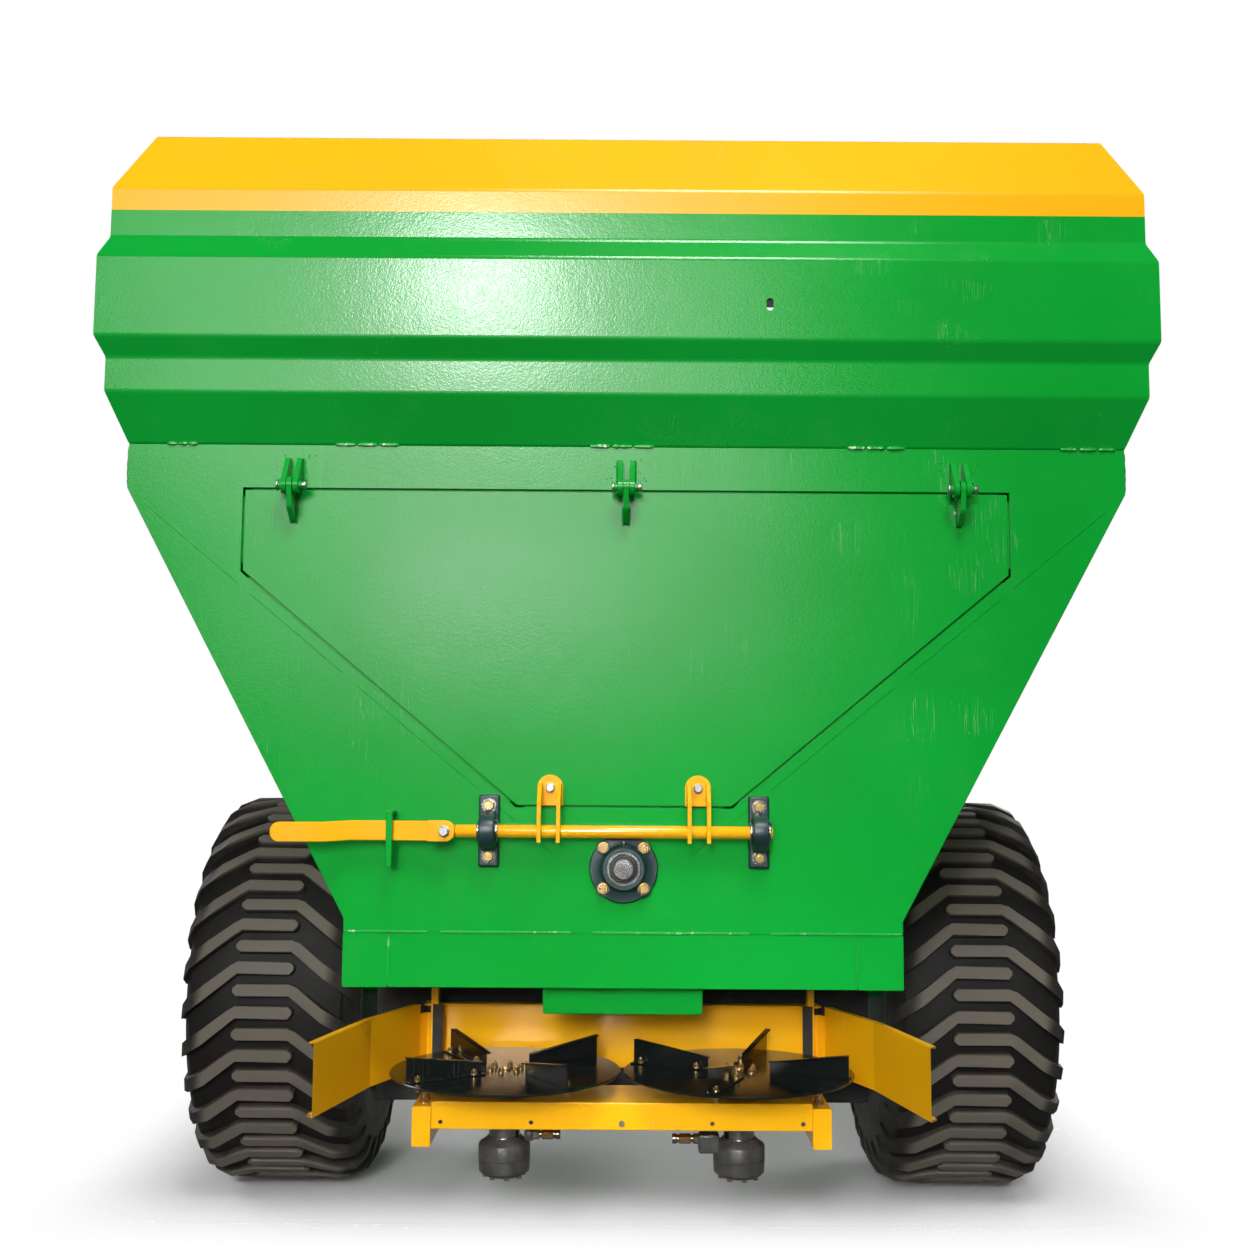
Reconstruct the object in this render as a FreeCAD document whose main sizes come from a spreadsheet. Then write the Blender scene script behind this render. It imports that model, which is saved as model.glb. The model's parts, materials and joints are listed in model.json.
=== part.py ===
import FreeCAD, Part
import math
import os
import re

import Sketcher

# A towed two-disc fertilizer spreader: open hopper on a single-axle chassis, floor auger,
# two hydraulic spreading discs at the back and an A-shaped drawbar at the front.
# X points right, Y forward, Z up, in millimetres.  All sizes are taken from the back face
# of the rear wall (y = 0), the centre line (x = 0) and the ground (z = 0); the last step
# moves every sub-part back so that the origin is the middle of the whole machine's base.

SIZES = {
    # hopper section
    "hopper_long": 2900, "hopper_half": 1182.5, "wall_top": 2030, "knee_high": 1924,
    "wall_foot_high": 924, "wall_thick": 8, "sheet_thick": 5, "floor_angle": 39.8,
    # ribbed extension of the hopper: how far each fold stands out, and its height
    "low_rib_out": 47, "low_rib_start": 2146, "low_rib_end": 2227,
    "high_rib_out": 70, "high_rib_start": 2274, "high_rib_end": 2468,
    "neck_out": 48, "neck_start": 2519, "rim_low": 2586,
    "rim_fold": 2642, "rim_top": 2804, "rim_lean": 76, "mitre_reach": 150,
    "slot_across": 335, "slot_high": 2358, "slot_half": 8, "slot_tall": 30,
    # tailgate in the rear wall; it follows the slope of the floor behind it
    "door_inset": 280.5, "door_top": 1921, "door_rise": 37.7, "door_low_half": 249, "door_gap": 5,
    # tailgate hinges
    "hinge_inset": 117, "hinge_high": 1924, "hinge_out": 43, "hinge_pin_radius": 10,
    "hinge_pin_half": 29, "ear_wall": 9, "strap_wall": 10, "ear_thick": 12, "ear_gap": 16, "ear_slope": 37,
    "ear_foot_gap": 6, "ear_top": 1996, "ear_top_out": 18, "strap_thick": 12,
    "strap_elbow_out": 52, "strap_elbow_drop": 54, "strap_foot": 1843, "strap_foot_out": 12,
    "strap_weld": 40, "strap_waist_out": 16, "running_fit": 0.05,
    # tailgate latch, measured from the door's bottom edge and from the latch shaft
    "latch_below": 58, "latch_out": 42.9, "latch_radius": 15, "latch_left": 385,
    "latch_right": 340, "block_across": 311, "block_wide": 48, "block_long": 165,
    "block_base": 15, "block_radius": 40, "block_shoulder": 6, "keeper_across": 171,
    "keeper_wide": 60, "keeper_tall": 71, "keeper_thick": 6, "finger_across": 22,
    "finger_thick": 9, "finger_rise": 51, "finger_tip_drop": 82, "finger_out": 73,
    "finger_deep": 10, "finger_knee_out": 30, "finger_drop": 40, "finger_inner_drop": 73,
    "lever_end": 800, "lever_tall": 45, "lever_thick": 8, "lever_step": 30, "lever_offset": 10,
    "lever_bend_out": 680, "lever_bend_in": 620, "lever_return": 500, "lever_clevis": 425,
    "clevis_half": 14, "hook_across": 533, "hook_wide": 15, "hook_rise": 46, "hook_drop": 81,
    "hook_reach": 62, "hook_thick": 10,
    # floor auger
    "auger_high": 1042, "trough_radius": 150, "auger_clearance": 15, "auger_tube": 44.5,
    "auger_journal": 22.5, "auger_pitch": 260, "flight_thick": 6, "journal_hole": 30,
    "auger_end_gap": 20, "bearing_radius": 79, "bearing_base": 14, "boss_radius": 50,
    "bearing_deep": 38, "journal_proud": 10, "journal_in_coupling": 10,
    "coupling_radius": 45, "coupling_start": 60, "coupling_end": 140, "motor_spigot": 20,
    "spigot_long": 45, "spigot_gap": 5, "drive_half": 110, "drive_plate": 10, "drive_start": 160,
    "drive_radius": 80, "drive_long": 190,
    # chassis
    "rail_inner": 538, "rail_outer": 643, "rail_low": 769, "rail_top": 893, "rail_wall": 6,
    "rail_ahead": 60, "channel_deep": 40, "channel_wall": 8, "seat_gap": 0.3,
    "cross_deep": 100, "front_cross_gap": 10, "rib_thick": 6, "back_rib": 620, "front_rib": 2030,
    # discharge chute below the back end of the trough
    "chute_back": 45, "chute_top_half": 192, "chute_low_half": 184, "chute_low": 704,
    "chute_top": 945, "chute_thick": 4, "outlet_half": 105, "outlet_inset": 15,
    # spreading unit; widths and lengths follow from the discs
    "disc_radius": 265, "disc_half_gap": 4, "disc_along": 50, "disc_high": 573, "disc_thick": 5,
    "disc_hub_radius": 35, "disc_hub_low": 533, "spindle_radius": 12.5, "spindle_top": 568,
    "beam_back": -50, "beam_front": 130, "beam_low": 467, "beam_top": 527, "beam_thick": 6,
    "side_reach": 156.5, "side_wide": 41.5, "side_back": -60, "side_low": 431, "side_top": 518.5,
    "side_wall": 4, "beam_hole_step": 202.4, "beam_hole_high": 482.5, "beam_hole_radius": 5,
    "hanger_overhang": 10, "hanger_wide": 18, "hanger_behind": 52, "hanger_deep": 32,
    "hood_reach": 201, "hood_gap": 35, "hood_thick": 4, "hood_low": 522, "hood_top": 677,
    "hood_lip": 30, "hood_lip_side": 27, "skirt_side": 150, "skirt_low": 437,
    "skirt_thick": 6, "skirt_behind": 10,
    "motor_seat_gap": 4, "motor_radius": 59, "motor_low": 346, "motor_top": 462, "neck_radius": 36,
    "motor_flange_radius": 54, "motor_flange_thick": 12,
    "vane_start": 70, "vane_inset": 9, "vane_tall": 54, "vane_low": 26, "vane_thick": 4,
    "vane_flange": 24, "vane_aside": 12, "left_vane_turn": 33, "right_vane_turn": 67,
    # deflector wings, in plan from their hinge rods backwards
    "rod_side": 17, "rod_radius": 8, "rod_low": 530, "rod_top": 673, "lug_radius": 14,
    "lug_tall": 16, "barrel_radius": 11.5, "barrel_gap": 1,
    "wing_root_side": 19, "wing_root_back": 28, "wing_fold_side": 105,
    "wing_fold_back": 241, "wing_end_side": 174, "wing_end_back": 544,
    "wing_low": 523, "wing_top": 679, "wing_thick": 5, "wing_lip": 18,
    # wheels and axle
    "axle_along": 1320, "track_half": 1010, "tyre_radius": 585, "tyre_half": 250,
    "crown_half": 165, "shoulder_half": 215, "shoulder_drop": 22, "flank_half": 240,
    "flank_drop": 62, "bulge_drop": 130, "bulge_end_drop": 190, "bead_side_half": 235,
    "bead_side_rise": 28, "bead_gap": 0.3, "bead_wide": 40, "bead_rise": 3,
    "casing_crown_half": 125, "casing_crown": 36, "casing_shoulder_half": 200,
    "casing_shoulder": 55, "casing_side_half": 222, "casing_side": 165,
    "axle_half": 50, "axle_reach": 700, "spindle_end": 1075, "stub_radius": 35,
    "rim_half": 205, "rim_radius": 302, "seat_radius": 286, "seat_fall": 2, "rim_wall": 8,
    "rim_lip": 10, "seat_wide": 100, "well_slope": 30, "well_radius": 262,
    "nave_radius": 95, "nave_inner": 110, "nave_outer": 70, "nave_face": 10, "nave_plate": 12,
    "cap_radius": 60, "cap_long": 40, "cap_gap": 5,
    "bracket_half_top": 170, "bracket_half_low": 80, "bracket_thick": 12,
    # drawbar, hitch eye and parking jack
    "drawbar_long": 1340, "tip_inner": 20, "tip_outer": 110, "hitch_thick": 20,
    "hitch_half": 115, "hitch_low": 440, "eye_high": 530, "eye_ahead": 80, "eye_radius": 55,
    "eye_bore": 25.5, "eye_thick": 45, "eye_plate_half": 70, "eye_plate_thick": 25,
    "eye_shank_half": 25,
    "jack_behind": 400, "jack_cross_half": 50, "jack_cross_low": 800, "jack_cross_top": 840,
    "jack_radius": 38, "jack_leg_radius": 30, "jack_tube_low": 330, "jack_top": 1080,
    "collar_wide": 10, "collar_thick": 12, "foot_half": 110, "foot_thick": 8,
    "crank_high": 1040, "crank_reach": 160, "crank_radius": 9, "grip_long": 120,
}

# Sizes that follow from the ones above.
DERIVED = {
    "door_half": "hopper_half - door_inset",
    "door_knee": "knee_high - door_inset * tan(floor_angle) + door_rise",
    "door_low": "knee_high - (hopper_half - door_low_half) * tan(floor_angle) + door_rise",
    "hinge_across": "door_half - hinge_inset",
    "ear_radius": "hinge_pin_radius + ear_wall",
    "strap_radius": "hinge_pin_radius + strap_wall",
    "latch_high": "door_low - latch_below",
    "keeper_top": "door_low + keeper_tall",
    "finger_top": "door_low + finger_rise",
    "finger_bottom": "door_low - finger_tip_drop",
    "hook_top": "latch_high + hook_rise",
    "hook_bottom": "latch_high - hook_drop",
    "auger_radius": "trough_radius - auger_clearance",
    "rail_end": "hopper_long + rail_ahead",
    "axle_cross": "axle_along - cross_deep / 2",
    "front_cross": "hopper_long - cross_deep - front_cross_gap",
    "disc_across": "disc_radius + disc_half_gap",
    "motor_hole": "neck_radius + motor_seat_gap",
    "vane_end": "disc_radius - vane_inset",
    "side_inner": "disc_across + side_reach",
    "side_outer": "side_inner + side_wide",
    "hood_half": "disc_across + hood_reach",
    "hood_lip_half": "hood_half + hood_lip_side",
    "hood_back": "disc_along + disc_radius + hood_gap",
    "hanger_outer": "side_outer + hanger_overhang",
    "hanger_inner": "hanger_outer - hanger_wide",
    "hanger_back": "hood_back - hanger_behind",
    "hanger_front": "hanger_back + hanger_deep",
    "hanger_cross": "hood_back - cross_deep / 2",
    "chute_front": "hanger_cross",
    "skirt_half": "hood_half + skirt_side",
    "skirt_back": "hood_back + skirt_behind",
    "rod_across": "hood_half + rod_side",
    "wing_root_across": "rod_across + wing_root_side",
    "wing_root_along": "hood_back - wing_root_back",
    "wing_fold_across": "rod_across + wing_fold_side",
    "wing_fold_along": "hood_back - wing_fold_back",
    "wing_end_across": "rod_across + wing_end_side",
    "wing_end_along": "hood_back - wing_end_back",
    "drawbar_front": "rail_end + drawbar_long",
    "hitch_front": "drawbar_front + hitch_thick",
    "eye_along": "hitch_front + eye_ahead",
    "jack_along": "drawbar_front - jack_behind",
    "jack_cross_back": "jack_along - jack_cross_half",
    "jack_cross_front": "jack_along + jack_cross_half",
}

document = FreeCAD.newDocument("spreader")
sheet = document.addObject("Spreadsheet::Sheet", "Sizes")
formulas = {alias: "=" + formula for alias, formula in DERIVED.items()}
CELLS = {**{alias: str(value) for alias, value in SIZES.items()}, **formulas}
for row, (alias, content) in enumerate(CELLS.items(), start=1):
    sheet.set(f"A{row}", alias)
    sheet.set(f"B{row}", content)
    sheet.setAlias(f"B{row}", alias)
document.recompute()

subparts = []

UNDER = "(knee_high - (hopper_half - ({x})) * tan(floor_angle))"   # under face of the floor at x
SIDES = (("left", "-1"), ("right", "1"))


def sized(text):
    """An expression on the sheet, from one that names sizes by their plain words."""
    return re.sub(r"[a-z_]+", lambda word: "Sizes." + word[0] if word[0] in CELLS else word[0], text)


def under(x):
    return UNDER.format(x=x)


def bind(thing, **properties):
    for path, text in properties.items():
        thing.setExpression(path.replace("__", "."), sized(text))
    return thing


def put(thing, x="0", y="0", z="0"):
    return bind(thing, Placement__Base__x=x, Placement__Base__y=y, Placement__Base__z=z)


def box(name, across, along, up):
    """A block between two values on each axis."""
    block = document.addObject("Part::Box", name)
    bind(block, Length=f"({across[1]}) - ({across[0]})", Width=f"({along[1]}) - ({along[0]})",
         Height=f"({up[1]}) - ({up[0]})")
    return put(block, across[0], along[0], up[0])


TURNS = {"X": FreeCAD.Rotation(FreeCAD.Vector(0, 1, 0), 90),
         "Y": FreeCAD.Rotation(FreeCAD.Vector(1, 0, 0), -90),
         "Z": FreeCAD.Rotation()}


def rod(name, axis, radius, start, end, centre):
    """A cylinder along an axis from start to end; centre gives its other two places in X, Y, Z order."""
    cylinder = document.addObject("Part::Cylinder", name)
    cylinder.Placement = FreeCAD.Placement(FreeCAD.Vector(), TURNS[axis])
    bind(cylinder, Radius=radius, Height=f"({end}) - ({start})")
    places = list(centre)
    places.insert("XYZ".index(axis), start)
    return put(cylinder, *places)


def draw(body, plane, outline, circles=(), cutouts=()):
    """A sketch on the body's own origin plane; every corner and circle is bound to the sheet."""
    sketch = body.newObject("Sketcher::SketchObject", body.Name + "_sketch")
    origin = next(part for part in body.Origin.OriginFeatures if part.Role == plane + "_Plane")
    sketch.AttachmentSupport = (origin, [""])
    sketch.MapMode = "FlatFace"

    def fix(geometry, point, place):
        for kind, text in zip(("DistanceX", "DistanceY"), place):
            index = sketch.addConstraint(Sketcher.Constraint(kind, -1, 1, geometry, point, 1.0))
            sketch.setExpression(f"Constraints[{index}]", sized(text))

    for corners in (outline, *cutouts):
        first = sketch.GeometryCount
        count = len(corners)
        ring = [FreeCAD.Vector(math.cos(turn), math.sin(turn)) * 100
                for turn in (2 * math.pi * step / count for step in range(count))]
        for step in range(count):
            sketch.addGeometry(Part.LineSegment(ring[step], ring[(step + 1) % count]))
        for step in range(count):
            sketch.addConstraint(Sketcher.Constraint(
                "Coincident", first + step, 2, first + (step + 1) % count, 1))
        for step, place in enumerate(corners):
            fix(first + step, 1, place)
    for across, up, radius in circles:
        geometry = sketch.addGeometry(Part.Circle(FreeCAD.Vector(), FreeCAD.Vector(0, 0, 1), 10))
        fix(geometry, 3, (across, up))
        index = sketch.addConstraint(Sketcher.Constraint("Radius", geometry, 10.0))
        sketch.setExpression(f"Constraints[{index}]", sized(radius))
    return sketch


def plate(name, plane, outline, start, end, circles=(), cutouts=()):
    """A plate whose outline lies in a plane and which runs from start to end square to it."""
    body = document.addObject("PartDesign::Body", name)
    sketch = draw(body, plane, outline, circles, cutouts)
    pad = body.newObject("PartDesign::Pad", name + "_pad")
    pad.Profile = sketch
    pad.Reversed = plane == "XZ"
    bind(pad, Length=f"({end}) - ({start})")
    place = {"XY": ("0", "0", start), "XZ": ("0", start, "0"), "YZ": (start, "0", "0")}[plane]
    return put(body, *place)


def turned(name, axis, outline, centre):
    """A ring or boss turned about an axis: outline points are (along the axis, radius)."""
    body = document.addObject("PartDesign::Body", name)
    if axis == "X":
        sketch = draw(body, "XY", outline)
    else:
        sketch = draw(body, {"Y": "XY", "Z": "XZ"}[axis], [(radius, along) for along, radius in outline])
    revolution = body.newObject("PartDesign::Revolution", name + "_turned")
    revolution.Profile = sketch
    revolution.ReferenceAxis = (sketch, ["H_Axis" if axis == "X" else "V_Axis"])
    revolution.Angle = 360
    return put(body, *centre)


def joined(name, *things):
    fusion = document.addObject("Part::MultiFuse", name)
    fusion.Shapes = list(things)
    return fusion


def cut(name, base, *tools):
    result = document.addObject("Part::Cut", name)
    result.Base = base
    result.Tool = tools[0] if len(tools) == 1 else joined(name + "_tools", *tools)
    return result


def shared(name, *things):
    common = document.addObject("Part::MultiCommon", name)
    common.Shapes = list(things)
    return common


def subpart(name, *things):
    """A named node of the assembly; its placement puts the origin under the machine's middle."""
    node = document.addObject("Part::Compound", name)
    node.Label = name
    node.Links = list(things)
    bind(node, Placement__Base__y="-(eye_along + eye_radius + disc_along - disc_radius) / 2")
    subparts.append(node)


def across(sign, inner, outer):
    """The pair of X values of something between inner and outer, on one side."""
    return (inner, outer) if sign == "1" else (f"-({outer})", f"-({inner})")


def on_side(sign, outline):
    return [(f"{sign} * ({x})", z) for x, z in outline]


def mirror_outline(half):
    """A closed outline from its right half, listed from the top down."""
    return half + [(f"-({x})", z) for x, z in reversed(half)]


# ---------------------------------------------------------------- hopper walls and floor

WALL = [("hopper_half", "wall_top"), ("hopper_half", "knee_high"),
        ("rail_outer", "wall_foot_high"), ("rail_outer", "rail_top")]


def door_outline(gap):
    return mirror_outline([
        (f"door_half + {gap}", f"door_top + {gap}"),
        (f"door_half + {gap}", f"door_knee - {gap} * tan((90 - floor_angle) / 2)"),
        (f"door_low_half + {gap} * tan(floor_angle / 2)", f"door_low - {gap}")])


JOURNAL = [("0", "auger_high", "journal_hole")]
subpart("rear_wall", plate("rear_wall_plate", "XZ", mirror_outline(WALL), "0", "wall_thick",
                           circles=JOURNAL, cutouts=[door_outline("door_gap")]))
subpart("front_wall", plate("front_wall_plate", "XZ", mirror_outline(WALL),
                            "hopper_long - wall_thick", "hopper_long", circles=JOURNAL))

FLOOR_RISE = "sheet_thick / cos(floor_angle)"
for side, sign in SIDES:
    inner_face = "hopper_half - sheet_thick"
    floor = [("trough_radius", under("trough_radius")), ("hopper_half", "knee_high"),
             ("hopper_half", "wall_top"), (inner_face, "wall_top"),
             (inner_face, f"{under(inner_face)} + {FLOOR_RISE}"),
             ("trough_radius", f"{under('trough_radius')} + {FLOOR_RISE}")]
    subpart(side + "_hopper_floor",
            plate(side + "_floor_sheet", "XZ", on_side(sign, floor), "wall_thick",
                  "hopper_long - wall_thick"))
    rib = [("hopper_half", "knee_high"), ("rail_outer", "wall_foot_high"), ("rail_outer", "rail_top"),
           ("rail_inner", "rail_top"), ("rail_inner", under("rail_inner"))]
    subpart(side + "_hopper_ribs",
            plate(side + "_back_rib", "XZ", on_side(sign, rib), "back_rib", "back_rib + rib_thick"),
            plate(side + "_front_rib", "XZ", on_side(sign, rib), "front_rib", "front_rib + rib_thick"))

# ------------------------------------------------------- ribbed extension and sloping rim

FOLDS = [("0", "wall_top"), ("low_rib_out", "low_rib_start"), ("low_rib_out", "low_rib_end"),
         ("high_rib_out", "high_rib_start"), ("high_rib_out", "high_rib_end"),
         ("neck_out", "neck_start"), ("neck_out", "rim_low")]
RIM = [("neck_out", "rim_low"), ("neck_out", "rim_fold"), ("neck_out - rim_lean", "rim_top")]


def sheet_outline(folds):
    """Both faces of a folded sheet: the inner one is the outer one moved in by its thickness."""
    return folds + [(f"{out} - sheet_thick", up) for out, up in reversed(folds)]


def mitre(name, wall):
    """The wedge of space, in plan, that belongs to one wall of the hopper."""
    near, far = "-mitre_reach", "hopper_long + mitre_reach"
    wide, narrow = "hopper_half + mitre_reach", "hopper_half - mitre_reach"
    inside_back, inside_front = "mitre_reach", "hopper_long - mitre_reach"
    corners = {
        "rear": [(f"-({wide})", near), (wide, near), (narrow, inside_back), (f"-({narrow})", inside_back)],
        "front": [(f"-({narrow})", inside_front), (narrow, inside_front), (wide, far), (f"-({wide})", far)],
        "left": [(f"-({wide})", near), (f"-({narrow})", inside_back), (f"-({narrow})", inside_front),
                 (f"-({wide})", far)],
        "right": [(narrow, inside_back), (wide, near), (wide, far), (narrow, inside_front)]}[wall]
    return plate(name, "XY", corners, "wall_top - mitre_reach", "rim_top + mitre_reach")


for wall in ("rear", "front", "left", "right"):
    for node, folds in (("upper_panel", FOLDS), ("rim", RIM)):
        name = f"{wall}_{node}"
        outline = sheet_outline(folds)
        if wall in ("rear", "front"):
            face = {"rear": "-({})", "front": "hopper_long + {}"}[wall]
            sheet_run = plate(name + "_run", "YZ", [(face.format(out), up) for out, up in outline],
                              "-(hopper_half + mitre_reach)", "hopper_half + mitre_reach")
        else:
            face = {"left": "-(hopper_half + {})", "right": "hopper_half + {}"}[wall]
            sheet_run = plate(name + "_run", "XZ", [(face.format(out), up) for out, up in outline],
                              "-mitre_reach", "hopper_long + mitre_reach")
        panel = shared(name + "_mitred", sheet_run, mitre(name + "_wedge", wall))
        if name == "rear_upper_panel":
            depth = ("-(high_rib_out + sheet_thick)", "0")
            straight = "slot_tall / 2 - slot_half"
            middle = box("slot_middle", ("slot_across - slot_half", "slot_across + slot_half"), depth,
                         (f"slot_high - ({straight})", f"slot_high + {straight}"))
            ends = [rod(f"slot_end_{place}", "Y", "slot_half", *depth,
                        ("slot_across", f"slot_high {step} ({straight})"))
                    for place, step in (("low", "-"), ("high", "+"))]
            panel = cut(name + "_slotted", panel, middle, *ends)
        subpart(name, panel)

# --------------------------------------------------------------------- tailgate and hinges

subpart("rear_door", plate("rear_door_plate", "XZ", door_outline("0"), "0", "wall_thick"))

HINGES = (("left", "-hinge_across"), ("middle", "0"), ("right", "hinge_across"))
ears, straps = [], []
for place, middle in HINGES:
    pin_centre = ("-hinge_out", "hinge_high")
    ear_outline = [("0", "ear_top"), ("0", "door_top + door_gap + ear_foot_gap"),
                   ("-hinge_out", "hinge_high - ear_radius"),
                   ("-hinge_out - ear_radius * cos(ear_slope)", "hinge_high + ear_radius * sin(ear_slope)"),
                   ("-ear_top_out", "ear_top")]
    pieces = [rod(f"{place}_hinge_pin", "X", "hinge_pin_radius", f"{middle} - hinge_pin_half",
                  f"{middle} + hinge_pin_half", pin_centre)]
    for ear, start in (("outer", f"{middle} - ear_gap / 2 - ear_thick"),
                       ("inner", f"{middle} + ear_gap / 2")):
        end = f"{start} + ear_thick"
        pieces.append(plate(f"{place}_{ear}_ear", "YZ", ear_outline, start, end))
        pieces.append(rod(f"{place}_{ear}_eye", "X", "ear_radius", start, end, pin_centre))
    ears.append(joined(f"{place}_hinge_ears", *pieces))

    start, end = f"{middle} - strap_thick / 2", f"{middle} + strap_thick / 2"
    neck = [("-hinge_out - strap_radius", "hinge_high"),
            ("-strap_elbow_out", "hinge_high - strap_elbow_drop"),
            ("-strap_foot_out", "strap_foot"), ("0", "strap_foot"), ("0", "strap_foot + strap_weld"),
            ("-strap_waist_out", "strap_foot + strap_weld"), ("-hinge_out + strap_radius", "hinge_high")]
    strap = joined(f"{place}_strap_blank", plate(f"{place}_strap_neck", "YZ", neck, start, end),
                   rod(f"{place}_strap_eye", "X", "strap_radius", start, end, pin_centre))
    bore = rod(f"{place}_strap_bore", "X", "hinge_pin_radius + running_fit",
               f"{middle} - hinge_pin_half", f"{middle} + hinge_pin_half", pin_centre)
    straps.append(cut(f"{place}_strap", strap, bore))
subpart("door_hinge_ears", *ears)
subpart("door_hinge_straps", *straps)

# ------------------------------------------------------------------------- tailgate latch

keepers = []
for side, sign in SIDES:
    middle = f"{sign} * keeper_across"
    tab = box(f"{side}_keeper_tab", (f"{middle} - keeper_wide / 2", f"{middle} + keeper_wide / 2"),
              ("-keeper_thick", "0"), ("door_low", "keeper_top - keeper_wide / 2"))
    head = rod(f"{side}_keeper_head", "Y", "keeper_wide / 2", "-keeper_thick", "0",
               (middle, "keeper_top - keeper_wide / 2"))
    finger = [("-keeper_thick / 2", "finger_top"), ("-finger_knee_out", "finger_top"),
              ("-finger_out", "finger_top - finger_drop"), ("-finger_out", "finger_bottom"),
              ("-finger_out + finger_deep", "finger_bottom"),
              ("-finger_out + finger_deep", "finger_top - finger_inner_drop"),
              ("-finger_knee_out", "finger_top - finger_drop"),
              ("-keeper_thick / 2", "finger_top - finger_drop")]
    fingers = [plate(f"{side}_keeper_finger_{number}", "YZ", finger,
                     f"{middle} {step} finger_across - finger_thick / 2",
                     f"{middle} {step} finger_across + finger_thick / 2")
               for number, step in (("one", "-"), ("two", "+"))]
    keepers.append(joined(f"{side}_keeper", tab, head, *fingers))
subpart("door_keepers", *keepers)

LATCH = ("-latch_out", "latch_high")
subpart("latch_shaft", rod("latch_bar", "X", "latch_radius", "-latch_left", "latch_right", LATCH))

blocks = []
for side, sign in SIDES:
    ends = (f"{sign} * block_across - block_wide / 2", f"{sign} * block_across + block_wide / 2")
    narrow = (f"{ends[0]} + block_shoulder", f"{ends[1]} - block_shoulder")
    base = box(f"{side}_block_base", ends, ("-block_base", "0"),
               ("latch_high - block_long / 2", "latch_high + block_long / 2"))
    housing = rod(f"{side}_block_housing", "X", "block_radius", *narrow, LATCH)
    web = box(f"{side}_block_web", narrow, ("-latch_out", "-block_base"),
              ("latch_high - block_radius", "latch_high + block_radius"))
    bore = rod(f"{side}_block_bore", "X", "latch_radius + running_fit", *ends, LATCH)
    blocks.append(cut(f"{side}_block", joined(f"{side}_block_blank", base, housing, web), bore))
subpart("latch_bearings", *blocks)

lever_line = [("-lever_end", "-latch_out - lever_step"), ("-lever_bend_out", "-latch_out - lever_step"),
              ("-lever_bend_in", "-latch_out"), ("-lever_return", "-latch_out"),
              ("-lever_clevis", "-latch_out - lever_offset"), ("-latch_left", "-latch_out - lever_offset")]
lever = ([(x, f"{y} + lever_thick / 2") for x, y in lever_line]
         + [(x, f"{y} - lever_thick / 2") for x, y in reversed(lever_line)])
subpart("latch_handle",
        joined("lever_with_clevis",
               plate("lever_bar", "XY", lever, "latch_high - lever_tall / 2", "latch_high + lever_tall / 2"),
               box("lever_clevis_block", ("-lever_clevis", "-latch_left"),
                   ("-latch_out - clevis_half", "-latch_out + clevis_half"),
                   ("latch_high - latch_radius", "latch_high + latch_radius"))))
hook = [("0", "hook_top"), ("-hook_reach", "hook_top"), ("-hook_reach", "hook_bottom"),
        ("-hook_reach + hook_thick", "hook_bottom"),
        ("-hook_reach + hook_thick", "hook_top - hook_thick"), ("0", "hook_top - hook_thick")]
subpart("handle_hook", plate("hook_plate", "YZ", hook, "-hook_across - hook_wide / 2",
                             "-hook_across + hook_wide / 2"))

# ----------------------------------------------------------------------------- floor auger

OUTER = "trough_radius + sheet_thick"
AXIS = ("0", "auger_high")
inside = ("wall_thick", "hopper_long - wall_thick")
trough_top = under("trough_radius")
shell = joined("trough_outside", rod("trough_outer_round", "Y", OUTER, *inside, AXIS),
               box("trough_outer_sides", (f"-({OUTER})", OUTER), inside, ("auger_high", trough_top)))
hollow = joined("trough_inside", rod("trough_inner_round", "Y", "trough_radius", *inside, AXIS),
                box("trough_inner_sides", ("-trough_radius", "trough_radius"), inside,
                    ("auger_high", trough_top)),
                box("trough_mouth", (f"-({OUTER})", OUTER), inside, (trough_top, f"{trough_top} + {OUTER}")),
                box("trough_outlet", ("-outlet_half", "outlet_half"),
                    ("chute_back + outlet_inset", "chute_front - outlet_inset"),
                    ("auger_high - trough_radius - 2 * sheet_thick", "auger_high")))
subpart("auger_trough", cut("trough_sheet", shell, hollow))

journal_back = "-bearing_deep - journal_proud"
coupling_end = "hopper_long + coupling_end"
coupling = cut("coupling",
               rod("coupling_body", "Y", "coupling_radius", "hopper_long + coupling_start", coupling_end, AXIS),
               rod("coupling_bore", "Y", "motor_spigot + running_fit",
                   "hopper_long + drive_start - spigot_long - spigot_gap", coupling_end, AXIS))
subpart("auger_shaft",
        joined("auger_core",
               rod("auger_journals", "Y", "auger_journal", journal_back,
                   "hopper_long + coupling_start + journal_in_coupling", AXIS),
               rod("auger_pipe", "Y", "auger_tube", "wall_thick + auger_end_gap",
                   "hopper_long - wall_thick - auger_end_gap", AXIS),
               coupling))


flight_start = "wall_thick + auger_end_gap + flight_thick"
flight = document.addObject("PartDesign::Body", "flight_sheet")
flight_blade = draw(flight, "XY", [("auger_tube + running_fit", "0"), ("auger_radius", "0"),
                                   ("auger_radius", "flight_thick"),
                                   ("auger_tube + running_fit", "flight_thick")])
flight_turns = flight.newObject("PartDesign::AdditiveHelix", "flight_turns")
flight_turns.Profile = flight_blade
flight_turns.ReferenceAxis = (flight_blade, ["V_Axis"])
flight_turns.Mode = "pitch-height-angle"
bind(flight_turns, Pitch="auger_pitch", Height=f"hopper_long - 2 * ({flight_start}) - flight_thick")
put(flight, "0", flight_start, "auger_high")
subpart("auger_flight", flight)


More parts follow.
